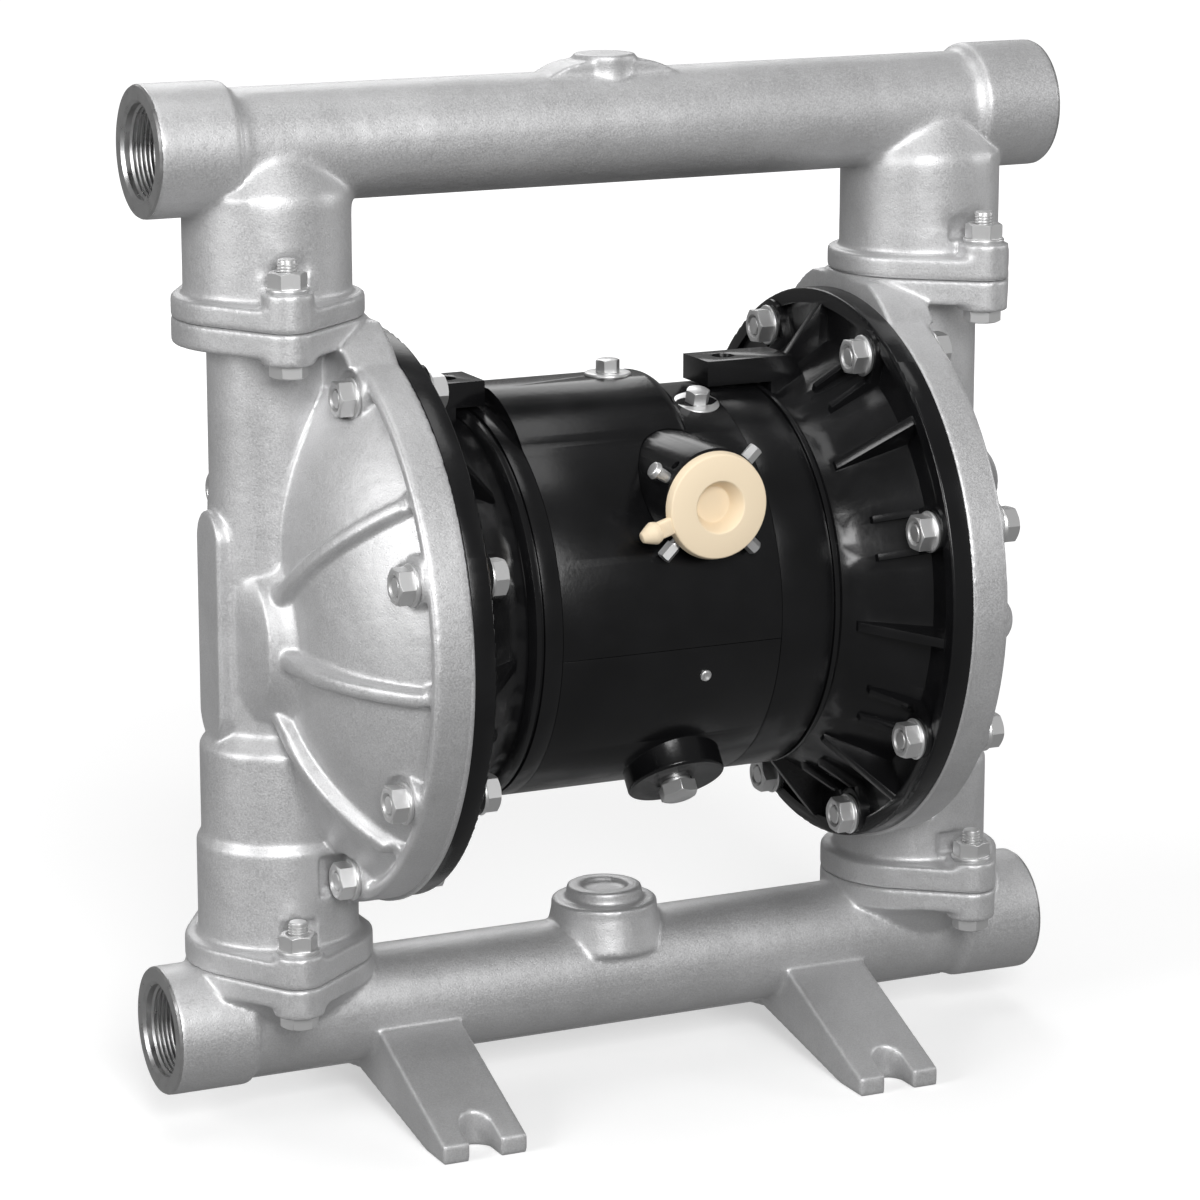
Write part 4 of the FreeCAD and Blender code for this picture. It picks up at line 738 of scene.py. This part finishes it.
class PUMP_OT_ports(bpy.types.Operator):
    """Turns the machined mouths of the four ports and cuts their threads"""

    bl_idname = "pump.ports"
    bl_label = "Ports"

    def execute(self, context):
        sizes = context.scene.pump_fasteners
        reach = extent("upper_manifold", "x")[1]
        foot = reach - 24
        mouth = lathe("port_mouth", [
            (23.7, foot), (23.7, reach - 1.5), (25.4, reach - 0.05), (32.1, reach - 0.05),
            (32.8, reach - 1.2), (32.6, reach - 3), (24.4, reach - 3), (24.4, foot),
        ], steps=72, closed=True)
        turns = int(21.5 / sizes.port_pitch) - 1
        thread = spiral("port_thread", 24.0, sizes.port_crest, sizes.port_pitch, turns,
                        foot + 0.3, steps=60)
        port = joined("port", [mouth, thread])
        for node, height in PORT_HEIGHTS.items():
            places = [aimed((way, 0, 0), (0, 0, height * MM)) for way in (1, -1)]
            piece = set_out(node.replace("manifold", "ports"), port, places)
            finish_piece(piece, "machined_aluminium", "cast_fluid", "housing")
        drop(port)
        return {"FINISHED"}


def wheel_places(start, circle, way, side):
    """Where a ring of equal pieces goes on a wheel: the front bolts and their mirror images.

    Each piece has a turn of its own about its bolt, as spanners leave them."""
    places = []
    for number, front in enumerate(WHEEL_BOLT_ANGLES):
        for angle in (math.radians(front), math.pi - math.radians(front)):
            spot = (start, -circle * math.cos(angle), AXIS + circle * math.sin(angle))
            places.append(aimed((way, 0, 0), spot, 30 + (number * 7) % 11 - 5))
    if side == "left":
        places = [Matrix.Rotation(math.pi, 4, "Z") @ place for place in places]
    return places


def nut(name, sizes, height):
    """A hexagon nut with chamfered ends and a countersunk bore, standing on the ground plane."""
    corner = sizes.nut_corner
    bore = sizes.stud + 0.05
    flat = corner * math.cos(math.pi / 6)
    edge = (corner - flat) * 0.62
    piece = lathe(name, [
        (bore, 0.9), (bore + 0.9, 0), (flat * 0.97, 0), (corner + 0.3, edge + 0.2),
        (corner + 0.3, height - edge - 0.2), (flat * 0.95, height), (bore + 1.3, height),
        (bore, height - 1.6),
    ], steps=36, closed=True)
    return hexed(piece, corner, height * 2)


def bolt_head(name, corner, height):
    """A hexagon bolt head with one chamfered end, standing on the ground plane."""
    flat = corner * math.cos(math.pi / 6)
    edge = (corner - flat) * 0.7
    piece = lathe(name, [
        (0, 0), (flat * 0.98, 0), (flat * 0.98, 0.3), (corner + 0.3, 0.3),
        (corner + 0.3, height - edge - 0.2), (flat * 0.93, height), (0, height),
    ], steps=36)
    return hexed(piece, corner, height * 2)


def washer(name, sizes, thick):
    """A pressed washer with rounded edges, standing on the ground plane."""
    bore = sizes.stud + 0.5
    rim = sizes.nut_corner + 0.5 - 0.3
    return lathe(name, [
        (bore, 0), (rim, 0), (rim, thick, 0.25), (bore, thick),
    ], steps=36, closed=True)


class PUMP_OT_wheel_fasteners(bpy.types.Operator):
    """Sets the studs, nuts and washers round the two wheels"""

    bl_idname = "pump.wheel_fasteners"
    bl_label = "Wheel fasteners"

    def execute(self, context):
        sizes = context.scene.pump_fasteners
        tip = extent("right_inner_nuts", "x")[0] + 0.6
        length = extent("right_outer_nuts", "x")[1] - 0.9 - tip
        radius = sizes.stud - 0.7
        rod = lathe("stud", [
            (0, 0), (radius, 0, 0.6), (radius, length, 0.6), (0, length),
        ], steps=32)
        hexagon = nut("nut", sizes, thickness("right_outer_nuts", "x"))
        disc = washer("washer", sizes, thickness("right_outer_washers", "x"))
        rings = (
            ("outer_nuts", hexagon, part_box("right_outer_nuts")[0].x, 1),
            ("inner_nuts", hexagon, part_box("right_inner_nuts")[1].x, -1),
            ("outer_washers", disc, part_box("right_outer_washers")[0].x, 1),
            ("inner_washers", disc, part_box("right_inner_washers")[1].x, -1),
            ("wheel_studs", rod, tip * MM, 1),
        )
        for name, pattern, start, way in rings:
            for side in SIDES:
                places = wheel_places(start, sizes.bolt_circle * MM, way, side)
                piece = set_out(f"set_{side}_{name}", pattern, places)
                finish_steel(piece, f"{side}_{name}")
        drop(rod, hexagon, disc)
        return {"FINISHED"}


def joint_bolt(sizes, length):
    """A hexagon bolt with its head down and its thread showing at the top."""
    head_height = 6.6
    thread_length = 7.2
    root = sizes.stud - 0.65
    core = root + 0.05
    rod = lathe("joint_rod", [
        (0, head_height - 1), (core, head_height - 1), (core, length, 0.8), (0, length),
    ], steps=32)
    turns = int(thread_length / sizes.thread_pitch)
    ridge = spiral("joint_thread", root, sizes.stud, sizes.thread_pitch, turns,
                   length - 8, steps=32)
    head = bolt_head("joint_head", sizes.nut_corner, head_height)
    head.matrix_world = aimed((0, 0, -1), (0, 0, head_height * MM))
    return joined("joint_bolt", [rod, ridge, head])


class PUMP_OT_joint_fasteners(bpy.types.Operator):
    """Sets the bolts, nuts and washers of the four flange joints"""

    bl_idname = "pump.joint_fasteners"
    bl_label = "Joint fasteners"

    def execute(self, context):
        sizes = context.scene.pump_fasteners
        spots = [(across * JOINT_BOLT_ACROSS * MM, along * JOINT_BOLT_ALONG * MM)
                 for across in (1, -1) for along in (-1, 1)]
        for joint in ("discharge", "suction"):
            patterns = {
                "bolts": joint_bolt(sizes, thickness(joint + "_bolts", "z")),
                "nuts": nut("joint_nut", sizes, thickness(joint + "_nuts", "z")),
                "washers": washer("joint_washer", sizes, thickness(joint + "_washers", "z")),
            }
            for name, pattern in patterns.items():
                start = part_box(f"{joint}_{name}")[0].z
                places = [aimed((0, 0, 1), (across, along, start), 14 * number - 8)
                          for number, (across, along) in enumerate(spots)]
                finish_steel(set_out(f"set_{joint}_{name}", pattern, places), f"{joint}_{name}")
            drop(*patterns.values())
        return {"FINISHED"}


class PUMP_OT_cover_fasteners(bpy.types.Operator):
    """Sets the two top bolts on their wide washers, and the drain plug"""

    bl_idname = "pump.cover_fasteners"
    bl_label = "Cover fasteners"

    def execute(self, context):
        crown = extent("upper_cover", "z")[1] - AXIS / MM
        heads = []
        discs = []
        for across, lean, seat in ((2.0, 0.0, crown - 0.2), (40.0, 15.0, 102.0)):
            aim = Vector((0, -math.sin(math.radians(lean)), math.cos(math.radians(lean))))
            foot = Vector((across * MM, 0, AXIS)) + aim * seat * MM
            disc = lathe("cover_washer", [
                (3.45, 0.5), (11.5, 0, 0.3), (11.5, 0.9, 0.3), (7.5, 1.5), (3.45, 1.5),
            ], steps=48, closed=True)
            disc.matrix_world = aimed(aim, foot)
            discs.append(disc)
            head = bolt_head("cover_head", 6.4, 7.0)
            rod = lathe("cover_rod", [(0, -10), (3, -10), (3, 1), (0, 1)], steps=16)
            bolt = joined("cover_bolt", [rod, head])
            bolt.matrix_world = aimed(aim, foot + aim * 1.4 * MM, 20)
            heads.append(bolt)
        finish_steel(joined("set_cover_bolts", heads), "cover_bolts", angle=28.0)
        finish_steel(joined("set_cover_washers", discs), "cover_washers", angle=28.0)

        tilt = math.radians(53)
        aim = Vector((0, -math.cos(tilt), -math.sin(tilt)))
        foot = Vector((9 * MM, 0, AXIS)) + aim * 113 * MM
        head = bolt_head("drain_head", 10.2, 7.0)
        rod = lathe("drain_rod", [(0, -11.5), (7.8, -11.5, 0.5), (7.8, 1), (0, 1)], steps=32)
        plug = joined("drain_plug_whole", [rod, head])
        plug.matrix_world = aimed(aim, foot, 12)
        finish_steel(joined("turned_drain_plug", [plug]), "drain_plug", angle=28.0)
        return {"FINISHED"}


class PUMP_OT_inlet_plug(bpy.types.Operator):
    """Moulds the cream plug with its strap and its pointed grip"""

    bl_idname = "pump.inlet_plug"
    bl_label = "Inlet plug"

    def execute(self, context):
        mouth = Vector((INLET_ACROSS * MM, -105 * MM, AXIS + INLET_RISE * MM))
        cap = lathe("plug_cap", [
            (0, -18), (14.7, -18, 0.6), (14.7, 0.3), (27.7, 0.3, 1.2), (27.7, 7, 2.2),
            (13.0, 7.6, 1.2), (9.6, -2.4, 1.6), (0, -1.4),
        ], steps=96)
        cap.matrix_world = aimed(FRONT, mouth)
        angle = math.radians(197)
        out = Vector((math.cos(angle), 0, math.sin(angle)))
        lean = Matrix.Rotation(math.pi - angle, 4, "Y")
        select_only()
        bpy.ops.mesh.primitive_cube_add(size=1.0)
        strap = active()
        strap.matrix_world = (
            Matrix.Translation(mouth + out * 30 * MM + FRONT * 3.0 * MM)
            @ lean @ Matrix.Diagonal((12 * MM, 4 * MM, 9 * MM, 1.0))
        )
        strap = joined("plug_strap", [strap])
        modify(strap, "BEVEL", width=1.4 * MM, segments=4)
        grip = lathe("plug_grip", [
            (0, 0), (5.0, 0, 1.3), (6.5, 3.4, 1.5), (4.6, 7.8, 1.6), (2.4, 10.2, 1.0), (0, 10.4),
        ], steps=40)
        grip.matrix_world = aimed(out, mouth + out * 33.2 * MM + FRONT * 3.2 * MM)
        piece = joined("moulded_inlet_plug", [cap, strap, grip])
        finish_piece(piece, "cream_plastic", "cream_plastic", "plug", "inlet_plug", angle=40.0)
        return {"FINISHED"}


def inlet_screw(round_head):
    """A screw that stands up from the inlet boss, with a round or a long hexagon head."""
    if round_head:
        length, start = 14, 13.6
        head = lathe("screw_head", [(0, 0), (3.9, 0, 0.4), (3.9, 2.6, 0.9), (0, 2.9)], steps=28)
    else:
        length, start = 10, 6.4
        head = bolt_head("screw_head", 3.9, 8.6)
    shank = lathe("screw_shank", [
        (0, 0), (2.45, 0), (2.45, length, 0.2), (0, length),
    ], steps=20)
    head.matrix_world = Matrix.Translation((0, 0, start * MM))
    return joined("inlet_screw", [shank, head])


class PUMP_OT_inlet_screws(bpy.types.Operator):
    """Sets the four screws that stand out round the inlet boss, and one in the lower cover"""

    bl_idname = "pump.inlet_screws"
    bl_label = "Inlet screws"

    def execute(self, context):
        boss = Vector((INLET_ACROSS * MM, -100 * MM, AXIS + INLET_RISE * MM))
        screws = []
        for degrees, round_head in ((45, False), (148, True), (225, False), (315, False)):
            angle = math.radians(degrees)
            aim = Vector((math.cos(angle), 0, math.sin(angle)))
            screw = inlet_screw(round_head)
            screw.matrix_world = aimed(aim, boss + aim * 21.5 * MM, 12)
            screws.append(screw)
        finish_steel(joined("set_inlet_screws", screws), "inlet_screws")

        dimple = lathe("cover_screw", [
            (0, -3), (2.6, -3), (2.6, 0.6, 0.5), (1.2, 0.7), (0, 0.1),
        ], steps=24)
        dimple.matrix_world = aimed((0, -0.967, -0.251), (10 * MM, -98.7 * MM, AXIS - 25.6 * MM))
        finish_steel(joined("lower_cover_screw", [dimple]), angle=30.0)
        return {"FINISHED"}


def pointing(azimuth, elevation):
    """The direction to a camera or lamp, by its angle from the front and its height."""
    level = math.cos(elevation)
    return Vector((math.sin(azimuth) * level, -math.cos(azimuth) * level, math.sin(elevation)))


def seen_from(out, distance):
    """Where a lamp or camera stands, and how it is turned towards the target."""
    turn = (-out).to_track_quat("-Z", "Y").to_euler()
    return {"location": TARGET + out * distance, "rotation": turn}


class PUMP_OT_stage(bpy.types.Operator):
    """Adds the floor, the lights and the camera"""

    bl_idname = "pump.stage"
    bl_label = "Stage"

    def execute(self, context):
        settings = context.scene.pump_stage
        context.scene.view_settings.view_transform = "Standard"
        select_only()
        bpy.ops.mesh.primitive_plane_add(size=30.0)
        floor = active()
        floor.name = "floor"
        white = Finish("floor_painted_glow", base_color=(0.6, 0.6, 0.6, 1.0), roughness=0.9)
        white.shader.inputs["Emission Strength"].default_value = 1.0
        # Painted light: the floor glows by its own emission. It is dimmer within half a metre of
        # the pump, as painted shade round it, and rises to a brighter glow 2.8 m out that keeps the
        # far floor white where the lamps don't reach.
        away = white.place.node(
            "ShaderNodeVectorMath", {0: white.place}, output=1, operation="LENGTH")
        painted_floor_glow = away.between(0.5, 2.8).tint((0.47, 0.47, 0.47), (0.9, 0.9, 0.9))
        white.feed("Emission Color", painted_floor_glow)
        floor.data.materials.append(white.material)
        floor.visible_diffuse = False
        floor.visible_glossy = False

        world = bpy.data.worlds.new("surround")
        context.scene.world = world
        world.use_nodes = True
        sky = world.node_tree.nodes["Background"]
        sky.inputs["Color"].default_value = (1.0, 1.0, 1.0, 1.0)
        sky.inputs["Strength"].default_value = settings.fill

        for name, azimuth, elevation, distance, size, power in LAMPS:
            out = pointing(math.radians(azimuth), math.radians(elevation))
            bpy.ops.object.light_add(type="AREA", **seen_from(out, distance))
            lamp = active()
            lamp.name = name + "_light"
            lamp.data.size = size
            lamp.data.energy = power

        out = pointing(settings.azimuth, settings.elevation)
        bpy.ops.object.camera_add(**seen_from(out, settings.distance))
        camera = active()
        camera.data.lens = LENS
        camera.data.sensor_width = SENSOR
        camera.data.clip_end = 100.0
        context.scene.camera = camera
        return {"FINISHED"}


class PUMP_PT_panel(bpy.types.Panel):
    """Lists the pump's settings and pieces"""

    bl_label = "Pump"
    bl_idname = "PUMP_PT_panel"
    bl_space_type = "VIEW_3D"
    bl_region_type = "UI"
    bl_category = "Pump"

    def draw(self, context):
        for name in GROUPS:
            group = getattr(context.scene, name)
            box = self.layout.box()
            for setting in group.bl_rna.properties.keys():
                if setting not in ("rna_type", "name"):
                    box.prop(group, setting)
        for operator in OPERATORS:
            self.layout.operator(operator.bl_idname)


GROUPS = {
    "pump_finishes": PumpFinishSettings,
    "pump_castings": PumpCastingSettings,
    "pump_fasteners": PumpFastenerSettings,
    "pump_stage": PumpStageSettings,
}
OPERATORS = (
    PUMP_OT_stage,
    PUMP_OT_finishes,
    PUMP_OT_manifolds,
    PUMP_OT_chambers,
    PUMP_OT_air_caps,
    PUMP_OT_drum,
    PUMP_OT_ports,
    PUMP_OT_wheel_fasteners,
    PUMP_OT_joint_fasteners,
    PUMP_OT_cover_fasteners,
    PUMP_OT_inlet_plug,
    PUMP_OT_inlet_screws,
)


def register():
    for item in (*GROUPS.values(), *OPERATORS, PUMP_PT_panel):
        bpy.utils.register_class(item)
    for name, group in GROUPS.items():
        setattr(bpy.types.Scene, name, PointerProperty(type=group))


def unregister():
    for name in GROUPS:
        delattr(bpy.types.Scene, name)
    for item in reversed((*GROUPS.values(), *OPERATORS, PUMP_PT_panel)):
        bpy.utils.unregister_class(item)


def main():
    register()
    for operator in OPERATORS:
        group, name = operator.bl_idname.split(".")
        getattr(getattr(bpy.ops, group), name)()


if __name__ == "__main__":
    main()
